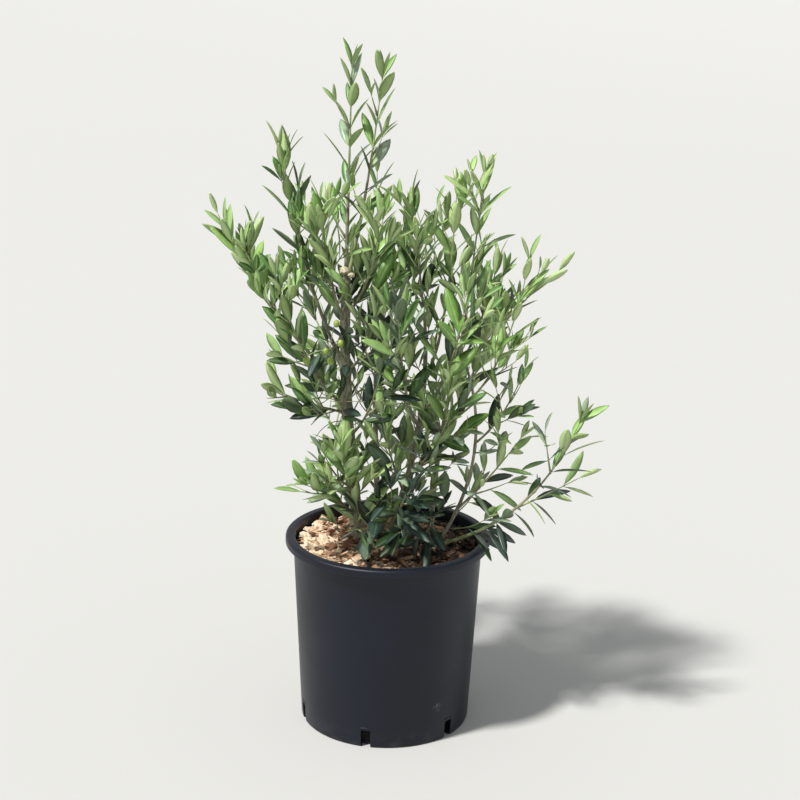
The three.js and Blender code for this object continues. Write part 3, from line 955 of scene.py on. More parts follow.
def new_look(name):
    """A material with its node tree and its shader."""
    made = bpy.data.materials.new(name)
    made.use_nodes = True
    return made, made.node_tree, made.node_tree.nodes["Principled BSDF"]


def mottled(name, mottle, colour, patch, scale, grain, roughness, strength, depth):
    """A material of two close colours in soft patches, with a fine bump."""
    made, tree, shader = new_look(name)
    made.diffuse_color = colour
    surface = patchy(tree, mottle, colour, patch, scale, grain)
    normal = bumped(tree, surface["Height"], strength, depth)
    inputs = {"Base Color": surface["Colour"], "Normal": normal, "Roughness": roughness}
    set_inputs(tree, shader, inputs)
    return made


# Leaf colours as seen in the light: the upper side, with the names of its underside and rib. Over the
# leaves' own spread of greens, the pale ones stand for leaves in sunlight and dusk, dark, slate and
# deep for leaves in shade: painted light and shade.
UPPER = {
    "lime": ((190, 216, 142), "pale_sage", "rib"),
    "fresh": ((156, 196, 112), "pale_sage", "rib"),
    "meadow": ((124, 168, 82), "grey_sage", "rib"),
    "sage": ((156, 192, 118), "pale_sage", "rib"),
    # This grey-green is the leaves' own, made paler with a painted sheen of reflected sky
    "haze": ((156, 178, 150), "grey_sage", "rib"),
    "olive_green": ((98, 142, 76), "grey_sage", "rib"),
    "dusk": ((88, 108, 88), "shaded_sage", "shaded_rib"),
    "dark": ((62, 92, 42), "shaded_sage", "shaded_rib"),
    "slate": ((50, 70, 62), "deep_sage", "shaded_rib"),
    "deep": ((34, 56, 26), "deep_sage", "shaded_rib"),
}
# Undersides and ribs: pale and grey ones for leaves in the light, shaded and deep ones as painted shade
# under the dark upper sides
UNDER = {
    "pale_sage": (184, 206, 146),
    "grey_sage": (150, 174, 112),
    "shaded_sage": (100, 118, 86),
    "deep_sage": (66, 82, 56),
}
RIB = {"rib": (158, 180, 122), "shaded_rib": (76, 98, 72)}

# Finish of a leaf's sides and rib: the shade of its patches, their scale and the grain's, the
# roughness, and the strength and depth of the bump
LEAF_FINISHES = (
    ({name: row[0] for name, row in UPPER.items()}, 0.8, 60, 900, 0.37, 0.25, 0.0004),
    (UNDER, 0.88, 60, 1400, 0.7, 0.2, 0.0004),
    (RIB, 0.85, 90, 900, 0.5, 0.1, 0.0003),
)


def leaf_materials(mottle):
    made = {}
    for colours, shade, *finish in LEAF_FINISHES:
        for name, seen in colours.items():
            colour = linear(*seen)
            made[name] = mottled(f"leaf_{name}", mottle, colour, darker(colour, shade), *finish)
    return made


# Joined meshes of many small shapes


def placed(name, mesh, materials, smooth=True):
    """A mesh with its materials as an object of the scene."""
    for look in materials:
        mesh.materials.append(look)
    mesh.polygons.foreach_set("use_smooth", np.full(len(mesh.polygons), smooth))
    mesh.update()
    made = bpy.data.objects.new(name, mesh)
    bpy.context.scene.collection.objects.link(made)
    return made


class Heap:
    """Copies of small shapes gathered into one mesh."""

    def __init__(self):
        self.points = []
        self.faces = []
        self.colours = []
        self.count = 0

    def add(self, points, faces, colours):
        self.points.append(points)
        self.faces.extend([[v + self.count for v in face] for face in faces])
        self.colours.extend(colours)
        self.count += len(points)

    def make(self, name, materials, smooth=True):
        mesh = bpy.data.meshes.new(name)
        mesh.from_pydata(np.concatenate(self.points).tolist(), [], self.faces)
        mesh.polygons.foreach_set("material_index", np.array(self.colours, np.int32))
        return placed(name, mesh, materials, smooth)


# Outline of a leaf: share of its length, share of its half width, and half width of its midrib
OUTLINE = (
    (0.0, 0.07, 0.05),
    (0.07, 0.09, 0.07),
    (0.2, 0.56, 0.065),
    (0.38, 0.93, 0.055),
    (0.56, 1.0, 0.045),
    (0.76, 0.8, 0.035),
    (0.91, 0.4, 0.02),
)

# Strips of faces along a leaf: the points of a row that each lies between, and whether it is the upper
# side, 0, the underside, 1, or the midrib, 2. Then its fold, its thickness at the tip and how much that
# grows towards the foot, in millimetres, and the midrib's widest share.
LEAF_STRIPS = ((0, 1, 0), (1, 2, 2), (2, 3, 0), (4, 0, 1), (5, 4, 1), (3, 5, 1))
LEAF_FOLD = 0.22
LEAF_EDGE = 0.35
LEAF_SWELLING = 0.3
WIDEST_RIB = 0.8


def leaf_faces():
    """A leaf's faces, and what each is. The last row closes on the leaf's tip."""
    faces = []
    for i in range(len(OUTLINE)):
        a = 6 * i
        b = a + 6
        for left, right, _ in LEAF_STRIPS:
            ahead = [b + left, b + right] if i + 1 < len(OUTLINE) else [b]
            faces.append([a + left, *ahead, a + right])
    faces.append([0, 1, 2, 3, 5, 4])
    return faces, np.array([part for _, _, part in LEAF_STRIPS] * len(OUTLINE) + [1])


def leaf_points(leaf):
    """A leaf's points: it folds a little along its midrib and bends back towards its tip."""
    rows = []
    for share, wide, rib in OUTLINE:
        x = share * leaf.length
        bend = -leaf.curl * leaf.length * share**2
        y = wide * leaf.width / 2
        r = min(rib * leaf.width, WIDEST_RIB * y)
        edge = LEAF_FOLD * y + bend
        top = LEAF_FOLD * r + bend
        under = top - LEAF_EDGE - LEAF_SWELLING * (1 - share)
        rows += [(x, -y, edge), (x, -r, top), (x, r, top), (x, y, edge), (x, -r, under), (x, r, under)]
    rows.append((leaf.length, 0.0, -leaf.curl * leaf.length))
    width = np.cross(leaf.face, leaf.heading)
    return leaf.root + np.array(rows) @ np.array([leaf.heading, width, leaf.face])


# The colours of the sprays, in even shares, and of the old leaves, low on their shoots. The tones are
# dealt out by where a spray stands in the light: sunlit and tips are painted sunlight, heart, shade,
# deep_shade and arm are painted shade, and mixed is mostly a painted sheen of reflected sky.
TONES = {
    "sunlit": ("lime", "fresh", "lime", "fresh", "sage", "fresh"),
    "tips": ("lime", "fresh", "fresh", "sage", "fresh", "meadow", "sage", "olive_green"),
    "crown": ("lime", "fresh", "sage", "meadow", "meadow", "sage", "olive_green", "dark"),
    "airy": ("fresh", "sage", "meadow", "sage", "olive_green", "meadow", "olive_green", "dark"),
    "heart": ("fresh", "sage", "meadow", "haze", "olive_green", "dusk", "olive_green", "dark"),
    "shade": ("haze", "sage", "olive_green", "dusk", "dark", "slate", "slate", "deep"),
    "mixed": ("haze", "sage", "haze", "fresh", "haze", "sage", "haze", "dusk"),
    "leading": ("olive_green", "haze", "meadow", "haze", "sage", "haze"),
    "deep_shade": ("dusk", "slate", "deep", "dark", "deep", "slate", "deep"),
    "arm": ("olive_green", "dusk", "slate", "dark"),
}
OLD_SHADED_TONES = {
    "sunlit": ("meadow", "fresh", "lime", "olive_green"),
    "tips": ("dark", "olive_green", "deep"),
    "crown": ("dark", "olive_green", "deep"),
    "airy": ("olive_green", "dark"),
    "heart": ("dark", "slate", "haze", "deep"),
    "shade": ("slate", "deep", "dark"),
    "deep_shade": ("deep", "slate"),
    "mixed": ("haze", "dusk", "haze", "slate"),
    "leading": ("olive_green", "dark"),
    "arm": ("slate", "dark"),
}

# The branches of each of those, where it isn't the crown's, and those whose main shoots are painted
# bright as in sunlight
TONED_BRANCHES = {
    "sunlit": "low_left low_left_fan",
    "tips": "left_wing right_spire inner_spire back_low_right",
    "airy": "left_spire",
    "heart": "back_left back_middle centre_front heart_right left_skirt right_skirt back_low_left",
    "shade": "heart_left centre_skirt",
    "mixed": "low_centre_right low_left_tuft right_low low_centre",
    "leading": "leader leader_fork",
    "deep_shade": "fruiting_spray foot_left foot_right foot_middle",
}
BRANCH_TONES = {name: tones for tones, names in TONED_BRANCHES.items() for name in names.split()}
SUNLIT_MAIN_SHOOTS = ("low_centre", "low_centre_right", "heart_right", "right_low")

# Ages up to which a leaf is young, and from which it is old and mostly takes a darker tone, partly for
# its age and partly as painted shade, and from which one of the low arm is painted as shaded
YOUNG_LEAF = 0.3
OLD_SHADED_LEAF = 0.52
ARM_SHADE = 0.35


def leaf_colours(leaf):
    """The colours of a leaf's upper side, underside and rib: its spray's, or those next to them."""
    name = leaf.spray.mass.name
    tones = BRANCH_TONES.get(name, "crown")
    # Main shoots of the crown and of the listed branches take the tips tones: painted sunlight.
    if leaf.spray.order == 0 and (tones == "crown" or name in SUNLIT_MAIN_SHOOTS):
        tones = "tips"
    # Older leaves of the low arm are painted as shaded; its younger ones take the mixed tones, with
    # their painted sheen.
    if name == "low_arm":
        tones = "arm" if leaf.age > ARM_SHADE else "mixed"
    tone = TONES[tones]
    pick = int(leaf.spray.chance * len(tone))
    if leaf.chance < (0.5 if leaf.age < YOUNG_LEAF else 0.25):
        pick = max(0, pick - 1)
    elif leaf.chance > 0.8:
        pick = min(len(tone) - 1, pick + 1)
    upper = tone[pick]
    # Most old leaves take the darker old tones: partly their age, partly painted shade inside the
    # crown.
    if leaf.age > OLD_SHADED_LEAF and leaf.chance > 0.35:
        old_shaded = OLD_SHADED_TONES[tones]
        upper = old_shaded[int((leaf.chance * 7) % 1 * len(old_shaded))]
    return upper, *UPPER[upper][1:]


# Which branches' leaves go together in one piece, by the first word of their names
PARTS = {
    "leader": "crown",
    "crown": "crown",
    "inner": "crown",
    "left": "left",
    "right": "right",
    "heart": "heart",
    "centre": "heart",
    "fruiting": "heart",
    "low": "low",
    "foot": "low",
    "back": "back",
}


def part_of(mass):
    return PARTS[mass.name.split("_")[0]]


def make_leaves(plant, materials):
    faces, parts = leaf_faces()
    names = list(materials)
    heaps = {}
    for leaf in plant.leaves:
        picks = np.array([names.index(name) for name in leaf_colours(leaf)])
        heap = heaps.setdefault(part_of(leaf.spray.mass), Heap())
        heap.add(to_world(leaf_points(leaf)), faces, picks[parts].tolist())
    for part, heap in heaps.items():
        made = heap.make(f"leaves_{part}", materials.values())
        nodes = [f"{mass.name}_leaves" for mass in plant.masses if part_of(mass) == part]
        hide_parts(*nodes)
        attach(made, "root")


# Twigs: length of a step along them, how far every other step swells, and how far the end is drawn out
TWIG_STEP = 8.5
NODE_SWELLING = 1.12
TWIG_POINT = 2.2


def make_twigs(plant, materials):
    """Every twig as a slim round tube that swells a little at its nodes."""
    heap = Heap()
    for twig in plant.twigs:
        sides = twig.sides
        steps = max(3, round_half_up(twig.line.length / TWIG_STEP))
        marks = stations(twig.line, steps)
        points = []
        faces = []
        colours = []
        for i, mark in enumerate(marks):
            radius = twig.foot + (twig.tip - twig.foot) * i / steps
            radius *= NODE_SWELLING if i % 2 else 1
            green = int(i / steps > 1 - twig.green)
            for j in range(sides):
                points.append(mark.point + radius * around(mark, 2 * math.pi * j / sides))
                a = i * sides + j
                b = i * sides + (j + 1) % sides
                ahead = [a + sides, b + sides] if i < steps else [len(marks) * sides]
                faces.append([a, *ahead, b])
                colours.append(green)
        points.append(marks[-1].point + marks[-1].along * TWIG_POINT)
        faces.append(list(range(sides)))
        colours.append(0)
        heap.add(to_world(points), faces, colours)
    made = heap.make("twigs", materials)
    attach(made, "root")


# Solid pieces


def finished(name, bm, materials):
    """A bmesh as an object, with its faces smooth."""
    mesh = bpy.data.meshes.new(name)
    bm.to_mesh(mesh)
    bm.free()
    return placed(name, mesh, materials)


def join(whole, bm):
    """Adds a bmesh to another and frees it."""
    mesh = bpy.data.meshes.new("shape")
    bm.to_mesh(mesh)
    bm.free()
    whole.from_mesh(mesh)
    bpy.data.meshes.remove(mesh)


def cube():
    """A cube 1 wide, and its edges that run along X."""
    bm = bmesh.new()
    bmesh.ops.create_cube(bm, size=1)
    return bm, [e for e in bm.edges if abs(e.verts[0].co.x - e.verts[1].co.x) > 0.5]


def bevelled(bm, edges, width, segments):
    bmesh.ops.bevel(
        bm, geom=edges, offset=width, segments=segments, affect="EDGES", profile=0.5, material=-1
    )


def column(sides, steps):
    """A closed column, 1 high and 1 in radius, cut into even steps."""
    bm = bmesh.new()
    bmesh.ops.create_cone(bm, cap_ends=True, segments=sides, radius1=1, radius2=1, depth=1)
    upright = [e for e in bm.edges if abs(e.verts[0].co.z - e.verts[1].co.z) > 0.5]
    bmesh.ops.subdivide_edges(bm, edges=upright, cuts=steps - 1, use_grid_fill=False)
    bmesh.ops.translate(bm, vec=(0, 0, 0.5), verts=bm.verts[:])
    return bm


def bent_column(line, steps, sides, radius, relief):
    """A column bent along a line, where relief(u, angle, point) stands out from radius(u)."""
    bm = column(sides, steps)
    marks = stations(line, steps)
    for vert in bm.verts:
        step = min(steps, max(0, round_half_up(vert.co.z * steps)))
        mark = marks[step]
        u = step / steps
        angle = math.atan2(vert.co.y, vert.co.x)
        out = around(mark, angle)
        spot = mark.point + out * radius(u)
        vert.co = Vector(to_world(spot + out * relief(u, angle, spot)))
    bmesh.ops.recalc_face_normals(bm, faces=bm.faces[:])
    return bm


def ridges(spot, across, along, shift=0):
    """Noise drawn out upwards, as bark is."""
    x, y, z = spot
    return noise.noise(Vector((x * across + shift, y * across, z * along)))


# A stem's bark, in shares of its radius: long ridges, fine ridges, lobes at the root flare, and
# swellings where branches leave, with the heights in millimetres over which lobes and swellings fade.
# Then how softly the top is rounded, and how far the foot reaches under the soil's level.
RIDGE = 0.07
FINE_RIDGE = 0.035
LOBE = 0.16
LOBE_HEIGHT = 14
LOBES = 5
FIRST_LOBE = 1.3
SWELLING = 0.13
SWELLING_HEIGHT = 6
CUT_SOFTNESS = 0.6
SUNK = 3


def make_stems(plant, bark):
    for stem in plant.stems.values():
        feet = [row[2] for row in BRANCHES if row[1] == stem.name]

        def radius(u, stem=stem):
            # The top is rounded off, as a cut that has callused over.
            left = (1 - u) * stem.line.length
            top = math.sqrt(min(1, (left + CUT_SOFTNESS) / (CUT_SOFTNESS * stem.tip + 1)))
            return stem.radius(u) * top

        def relief(u, angle, spot, stem=stem, feet=feet):
            height = u * (stem.height + STEM_DEPTH) - STEM_DEPTH
            out = RIDGE * ridges(spot, 0.35, 0.035) + FINE_RIDGE * ridges(spot, 1.1, 0.22, 7)
            fading = math.exp(-max(0, height) / LOBE_HEIGHT)
            out += LOBE * fading * math.cos(LOBES * angle + FIRST_LOBE)
            for foot in feet:
                out += SWELLING * math.exp(-(((height - foot) / SWELLING_HEIGHT) ** 2))
            return out * stem.radius(u)

        steps = round_half_up(stem.line.length / 4)
        sides = 28 if stem.name == "trunk" else 20
        bm = bent_column(stem.line, steps, sides, radius, relief)
        for vert in bm.verts:
            vert.co.z = max(vert.co.z, (SOIL_LEVEL - SUNK) * MM)
        made = finished(f"{stem.name}_stem_bark", bm, [bark])
        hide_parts(f"{stem.name}_stem")
        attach(made, "root")


# Boughs whose bark is still green, and the collar, ridges and sides of every bough
YOUNG_BOUGHS = ("low_arm", "right_wing", "left_wing", "leader_fork")
COLLAR = 0.35
COLLAR_LENGTH = 7
BOUGH_RIDGE = 0.09
BOUGH_SIDES = 12


def make_boughs(plant, bark, young_bark):
    whole = bmesh.new()
    grown = [mass for mass in plant.masses if mass.bough]
    for mass in grown:
        length = mass.bough.length

        def radius(u, mass=mass, length=length):
            taper = mass.base + (mass.thickness - mass.base) * u
            return taper * (1 + COLLAR * math.exp(-u * length / COLLAR_LENGTH))

        def relief(u, angle, spot, mass=mass):
            return mass.base * BOUGH_RIDGE * ridges(spot, 0.5, 0.12)

        bm = bent_column(mass.bough, max(8, round_half_up(length / 4)), BOUGH_SIDES, radius, relief)
        for face in bm.faces:
            face.material_index = int(mass.name in YOUNG_BOUGHS)
        join(whole, bm)
    made = finished("boughs_bark", whole, [bark, young_bark])
    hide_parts(*[f"{mass.name}_bough" for mass in grown])
    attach(made, "root")


def make_pruning_knot(plant, callus):
    """The pale callused lumps where branches were pruned at the trunk's top."""
    top = plant.stems["trunk"].line.point(KNOT_SHARE)
    whole = bmesh.new()
    for shift, radius in CALLUSES:
        bm = bmesh.new()
        bmesh.ops.create_icosphere(bm, subdivisions=4, radius=1)
        for vert in bm.verts:
            lump = 1 + 0.3 * noise.noise(vert.co * 1.6 + Vector(shift)) + 0.1 * noise.noise(vert.co * 5)
            spot = np.array(vert.co) * lump * radius * CALLUS_SHAPE
            vert.co = Vector(to_world(top + np.array(shift) + spot))
        join(whole, bm)
    made = finished("pruning_knot", whole, [callus])
    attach(made, "root")


def spun(profile, steps):
    """A profile of (radius, height) in millimetres, spun about the upright axis."""
    bm = bmesh.new()
    verts = [bm.verts.new((radius * MM, 0, height * MM)) for radius, height in profile]
    edges = [bm.edges.new(pair) for pair in zip(verts, verts[1:])]
    bmesh.ops.spin(
        bm,
        geom=verts + edges,
        cent=(0, 0, 0),
        axis=(0, 0, 1),
        angle=2 * math.pi,
        steps=steps,
        use_merge=True,
    )
    bmesh.ops.remove_doubles(bm, verts=bm.verts[:], dist=1e-6)
    bmesh.ops.recalc_face_normals(bm, faces=bm.faces[:])
    return bm


def arc(x, z, radius, start, end, steps):
    """Points of a round corner, with its angles in degrees."""
    angles = [math.radians(start + (end - start) * i / steps) for i in range(steps + 1)]
    return [(x + radius * math.cos(a), z + radius * math.sin(a)) for a in angles]


def inner_radius(height):
    return body_radius(height) - WALL


# Radii of the pot's rounded corners: at the foot, in the lip's hollow, inside and outside its lower
# edge, at the shoulder and at the mouth
FOOT_ROUND = 3.2
HOLLOW_ROUND = 1.6
LIP_INSIDE_ROUND = 1.0
LIP_EDGE_ROUND = 1.2
SHOULDER_ROUND = 4.2
MOUTH_ROUND = 2.4


def pot_profile():
    """The pot's outline: up the body, under the lip and down inside it, over the rim, down inside."""
    under = POT_HEIGHT - WALL - HOLLOW_ROUND
    lip = RIM_RADIUS - WALL
    drop = POT_HEIGHT - LIP_DROP
    mouth = RIM_RADIUS - LIP_WIDTH - WALL
    profile = [(0, 0), (60, 0), (110, 0)]
    profile += arc(BASE_RADIUS - FOOT_ROUND, FOOT_ROUND, FOOT_ROUND, -90, -3, 5)
    profile += [(body_radius(h), h) for h in (12, 40, 90, 140, 190, 235, 262)]
    profile += [(body_radius(264) + 0.5, 264), (body_radius(270) + 0.6, 270)]
    profile += arc(body_radius(POT_HEIGHT - WALL) + 2.2, under, HOLLOW_ROUND, 180, 90, 3)
    profile += arc(lip - HOLLOW_ROUND, under, HOLLOW_ROUND, 90, 0, 3)
    profile += [(lip, drop + 1)]
    profile += arc(lip + LIP_INSIDE_ROUND, drop + LIP_INSIDE_ROUND, LIP_INSIDE_ROUND, 180, 270, 3)
    profile += arc(RIM_RADIUS - LIP_EDGE_ROUND, drop + LIP_EDGE_ROUND, LIP_EDGE_ROUND, -90, 0, 3)
    profile += [(RIM_RADIUS, drop + 4)]
    profile += arc(RIM_RADIUS - SHOULDER_ROUND, POT_HEIGHT - SHOULDER_ROUND, SHOULDER_ROUND, 0, 90, 7)
    profile += [(RIM_RADIUS - 7.5, POT_HEIGHT)]
    profile += arc(mouth + MOUTH_ROUND, POT_HEIGHT - MOUTH_ROUND, MOUTH_ROUND, 90, 180, 5)
    profile += [(mouth - 0.6, 262)]
    profile += [(inner_radius(h), h) for h in (180, 60, FLOOR)]
    return profile + [(0, FLOOR)]


# Blocks that open the drain slots, and thin ledges over them: size, radius and height of the middle,
# bevel and its segments, and whether only the edges that point to the pot's axis are bevelled
SLOT_OPEN = 6
SLOT_CUTTERS = (
    (16, SLOT_WIDTH, SLOT_HEIGHT + SLOT_OPEN),
    BASE_RADIUS - WALL,
    (SLOT_HEIGHT - SLOT_OPEN) / 2,
    1.6,
    3,
    True,
)
SLOT_LEDGES = ((3.4, SLOT_WIDTH + 1.5, 1.8), body_radius(30) - 1, 30.5, 0.6, 2, False)


def round_the_slots(name, look, size, radius, height, bevel, segments, inward_only):
    """The same block at every drain slot."""
    whole = bmesh.new()
    for i in range(SLOTS):
        bm, inward = cube()
        bmesh.ops.scale(bm, vec=Vector(size) * MM, verts=bm.verts[:])
        bevelled(bm, inward if inward_only else bm.edges[:], bevel * MM, segments)
        bmesh.ops.translate(bm, vec=Vector((radius, 0, height)) * MM, verts=bm.verts[:])
        turn = Matrix.Rotation(FIRST_SLOT + i * 2 * math.pi / SLOTS, 3, "Z")
        bmesh.ops.rotate(bm, cent=(0, 0, 0), matrix=turn, verts=bm.verts[:])
        join(whole, bm)
    return finished(name, whole, [look])


def make_pot(plastic):
    made = finished("moulded_pot", spun(pot_profile(), 144), [plastic])
    cutter = round_the_slots("slot_cutters", plastic, *SLOT_CUTTERS)
    cut = made.modifiers.new("slots", "BOOLEAN")
    cut.operation = "DIFFERENCE"
    cut.solver = "EXACT"
    cut.object = cutter
    bpy.context.view_layer.update()
    shaped = bpy.data.meshes.new_from_object(made.evaluated_get(bpy.context.evaluated_depsgraph_get()))
    made.modifiers.clear()
    made.data = shaped
    bpy.data.objects.remove(cutter)
    edges = made.modifiers.new("corners", "EDGE_SPLIT")
    edges.split_angle = math.radians(50)
    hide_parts("pot")
    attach(made, "root")
    ledges = round_the_slots("slot_ledges", plastic, *SLOT_LEDGES)
    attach(ledges, "root")


# The bed under the mulch: how far below the soil's level, its broad and its small lumps, each with its
# height and scale, and how much of the soil's fall it follows
BED_DEPTH = 2
BROAD_LUMPS = (2.2, 0.045)
SMALL_LUMPS = (1.6, 0.14)
BED_FALL = 0.4
BED_RINGS = 44


def bed_height(x, y):
    """Height of the bed, in millimetres over the pot's underside."""
    inside = inner_radius(SOIL_LEVEL - SOIL_FALL)
    fall = SOIL_FALL * max(0, (math.hypot(x, y) - SOIL_FLAT) / (inside - SOIL_FLAT))
    heaped = MULCH_HEAP * min(1, max(0, -x / inside))
    height = SOIL_LEVEL - BED_DEPTH - BED_FALL * fall + heaped
    for (lump, scale), level in ((BROAD_LUMPS, 3), (SMALL_LUMPS, 9)):
        height += lump * noise.noise(Vector((x * scale, y * scale, level)))
    return height


def make_bed(dark_mix, damp_mix):
    """The potting mix under the mulch, lumpy on top, and painted near-black low down as shade behind
    the drain slots.
    """
    inside = inner_radius(SOIL_LEVEL)
    profile = [(inside * i / BED_RINGS, SOIL_LEVEL) for i in range(BED_RINGS + 1)]
    for height, gap, lift in ((180, 0.2, 0), (60, 0.2, 0), (40, 9, 0), (FLOOR, 9, 0.3)):
        profile.append((inner_radius(height) - gap, height + lift))
    profile.append((0, FLOOR + 0.3))
    bm = spun(profile, 96)
    for vert in bm.verts:
        if vert.co.z > 0.25:
            vert.co.z = bed_height(vert.co.x / MM, vert.co.y / MM) * MM
    # Faces below 12 cm take the near-black mix: painted shade behind the drain slots.
    for face in bm.faces:
        face.material_index = int(face.calc_center_median().z < 0.12)
    made = finished("potting_mix_bed", bm, [dark_mix, damp_mix])
    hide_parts("potting_mix")
    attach(made, "root")


# Chips: shapes of each kind, each layer's count and tumble in radians, and how much paler they are per
# millimetre to the left and to the front, which paints the light from the front left and the shade to
# the right
CHIP_SHAPES = 8
CHIP_LAYERS = ((1250, 0.8), (850, 1.3), (420, 1.5))
LAYER_HEIGHT = 2.2
LARGE_CHIPS = 0.3
CHIP_SEED = 3571
SHAPE_SEED = 9091
PAINTED_LIGHT_LEFT = 0.0038
PAINTED_LIGHT_FRONT = 0.0008


def chip_shapes():
    """Wood chips and bark lumps, 1 long: eight with broken edges, then eight plain splinters."""
    shapes = []
    dice = Dice(SHAPE_SEED)
    for i in range(2 * CHIP_SHAPES):
        bm, long_edges = cube()
        if i < CHIP_SHAPES:
            bmesh.ops.subdivide_edges(bm, edges=long_edges, cuts=2, use_grid_fill=True)
        wide = dice.between(0.28, 0.58)
        thick = dice.between(0.08, 0.18)
        for vert in bm.verts:
            taper = 1 - dice.roll() * abs(vert.co.x)
            vert.co.x *= dice.between(0.86, 1.14)
            vert.co.y *= wide * taper * dice.between(0.8, 1.2)
            vert.co.z *= thick * dice.between(0.7, 1.3)
            vert.co.z += 0.16 * (i % 3 - 1) * vert.co.x**2
        if i < CHIP_SHAPES:
            bevelled(bm, bm.edges[:], 0.02, 1)
        bmesh.ops.recalc_face_normals(bm, faces=bm.faces[:])
        bm.verts.index_update()
        points = np.array([v.co[:] for v in bm.verts])
        shapes.append((points, [[v.index for v in f.verts] for f in bm.faces]))
        bm.free()
    return shapes


def make_chips(materials):
    """Loose wood and bark chips on the bed, painted pale on the left where the light falls and darker
    in the shade to the right and the middle.
    """
    shapes = chip_shapes()
    dice = Dice(CHIP_SEED)
    heap = Heap()
    reach = inner_radius(SOIL_LEVEL) - 2
    layers = []
    for layer, (count, tumble) in enumerate(CHIP_LAYERS):
        layers += [(layer, tumble)] * count
    for layer, tumble in layers:
        radius = reach * math.sqrt(dice.roll())
        heading = 2 * math.pi * dice.roll()
        x = radius * math.cos(heading)
        y = radius * math.sin(heading)
        large = dice.roll() > 1 - LARGE_CHIPS
        size = dice.between(12, 25) if large else dice.between(5, 13)
        turn = 2 * math.pi * dice.roll()
        tilt = dice.spread(tumble)
        lean = dice.spread(tumble)
        points, faces = shapes[int(dice.roll() * CHIP_SHAPES) + (0 if large else CHIP_SHAPES)]
        # Paler chips to the left and front stand for light, darker ones to the right for shade: painted
        # light and shade.
        tone = dice.roll() - PAINTED_LIGHT_LEFT * x - PAINTED_LIGHT_FRONT * y
        if radius + size / 2 > reach + 2:
            continue
        matrix = Matrix.Rotation(turn, 3, "Z") @ Matrix.Rotation(tilt, 3, "Y")
        matrix = matrix @ Matrix.Rotation(lean, 3, "X")
        spot = np.array([x, y, bed_height(x, y) + 0.8 + layer * LAYER_HEIGHT + 0.12 * size])
        order = len(materials) - 1 - int(min(0.999, max(0, tone)) * len(materials))
        heap.add((points * size @ np.array(matrix).T + spot) * MM, faces, [order] * len(faces))
    made = heap.make("mulch_chips", materials, smooth=False)
    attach(made, "root")


def make_olives(plant, skin, stalk_green):
    """The olives of the fruiting spray on their stalks."""
    dice = Dice(OLIVE_SEED)
    whole = bmesh.new()
    stalks = bmesh.new()
    for foot, centre in plant.olives:
        bm = bmesh.new()
        bmesh.ops.create_uvsphere(bm, u_segments=20, v_segments=14, radius=OLIVE_RADIUS * MM)
        size = dice.between(0.9, 1.06)
        bmesh.ops.scale(bm, vec=Vector((size, size, size * OLIVE_OVAL)), verts=bm.verts[:])
        for vert in bm.verts:
            # Drawn to a slight point below and dimpled at the stalk.
            share = vert.co.z / (OLIVE_RADIUS * OLIVE_OVAL * MM)
            vert.co.z -= OLIVE_POINT * MM * max(0, -share - 0.8) / 0.2
            vert.co.z -= OLIVE_DIMPLE * MM * max(0, share - 0.9) / 0.1
        tilt = Matrix.Rotation(dice.spread(OLIVE_TILT), 3, "X")
        tilt = tilt @ Matrix.Rotation(dice.spread(OLIVE_TILT), 3, "Y")
        bmesh.ops.rotate(bm, cent=(0, 0, 0), matrix=tilt, verts=bm.verts[:])
        bmesh.ops.translate(bm, vec=Vector(to_world(centre)), verts=bm.verts[:])
        join(whole, bm)
        top = centre + UP * OLIVE_RADIUS * OLIVE_OVAL * 0.85
        bend = (foot + top) / 2 + UP * 5 - RIGHT * 3
        stalk = bent_column(Bow(foot, bend, top), 8, 8, lambda u: 0.55 + 0.35 * u**4, lambda *_: 0)
        join(stalks, stalk)
    made = finished("olives", whole, [skin])
    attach(made, "root")
    made = finished("olive_stalks", stalks, [stalk_green])
    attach(made, "root")


def bark_material(mottle):
    """Young olive bark: grey-brown, finely furrowed, with pale freckles and a grey-green film."""
    made, tree, shader = new_look("olive_bark")
    surface = patchy(tree, mottle, linear(172, 167, 148), linear(134, 131, 112), 55, 900)
    place = place_in(tree)
    drawn = add_node(tree, "Mapping", {"Vector": place, "Scale": (1.0, 1.0, 0.16)})[0]
    fissures = noise_in(tree, drawn, 420, 5, 0.62)
    # The furrows are darker: partly the bark's own colour, partly painted shade in its recesses.
    colour = blend(tree, ramp(tree, fissures, 0.36, 0.52), linear(98, 93, 78), surface["Colour"])
    freckles = add_node(tree, "TexVoronoi", {"Vector": place, "Scale": 260})["Distance"]
    dots = ramp(tree, freckles, 0.16, 0.26, 0.5, 0)
    colour = blend(tree, dots, colour, linear(178, 173, 156))
    film = ramp(tree, noise_in(tree, place, 24, 2), 0.55, 0.72, 0, 0.45)
    colour = blend(tree, film, colour, linear(112, 118, 92))
    furrows = bumped(tree, fissures, 0.9, 0.0012)
    normal = bumped(tree, surface["Height"], 0.4, 0.0004, Normal=furrows)
    set_inputs(tree, shader, {"Base Color": colour, "Normal": normal, "Roughness": 0.88})
    return made


# Middle of the scuff on the pot's lower front, in metres
SCUFF = (0.077, -0.102, 0.055)


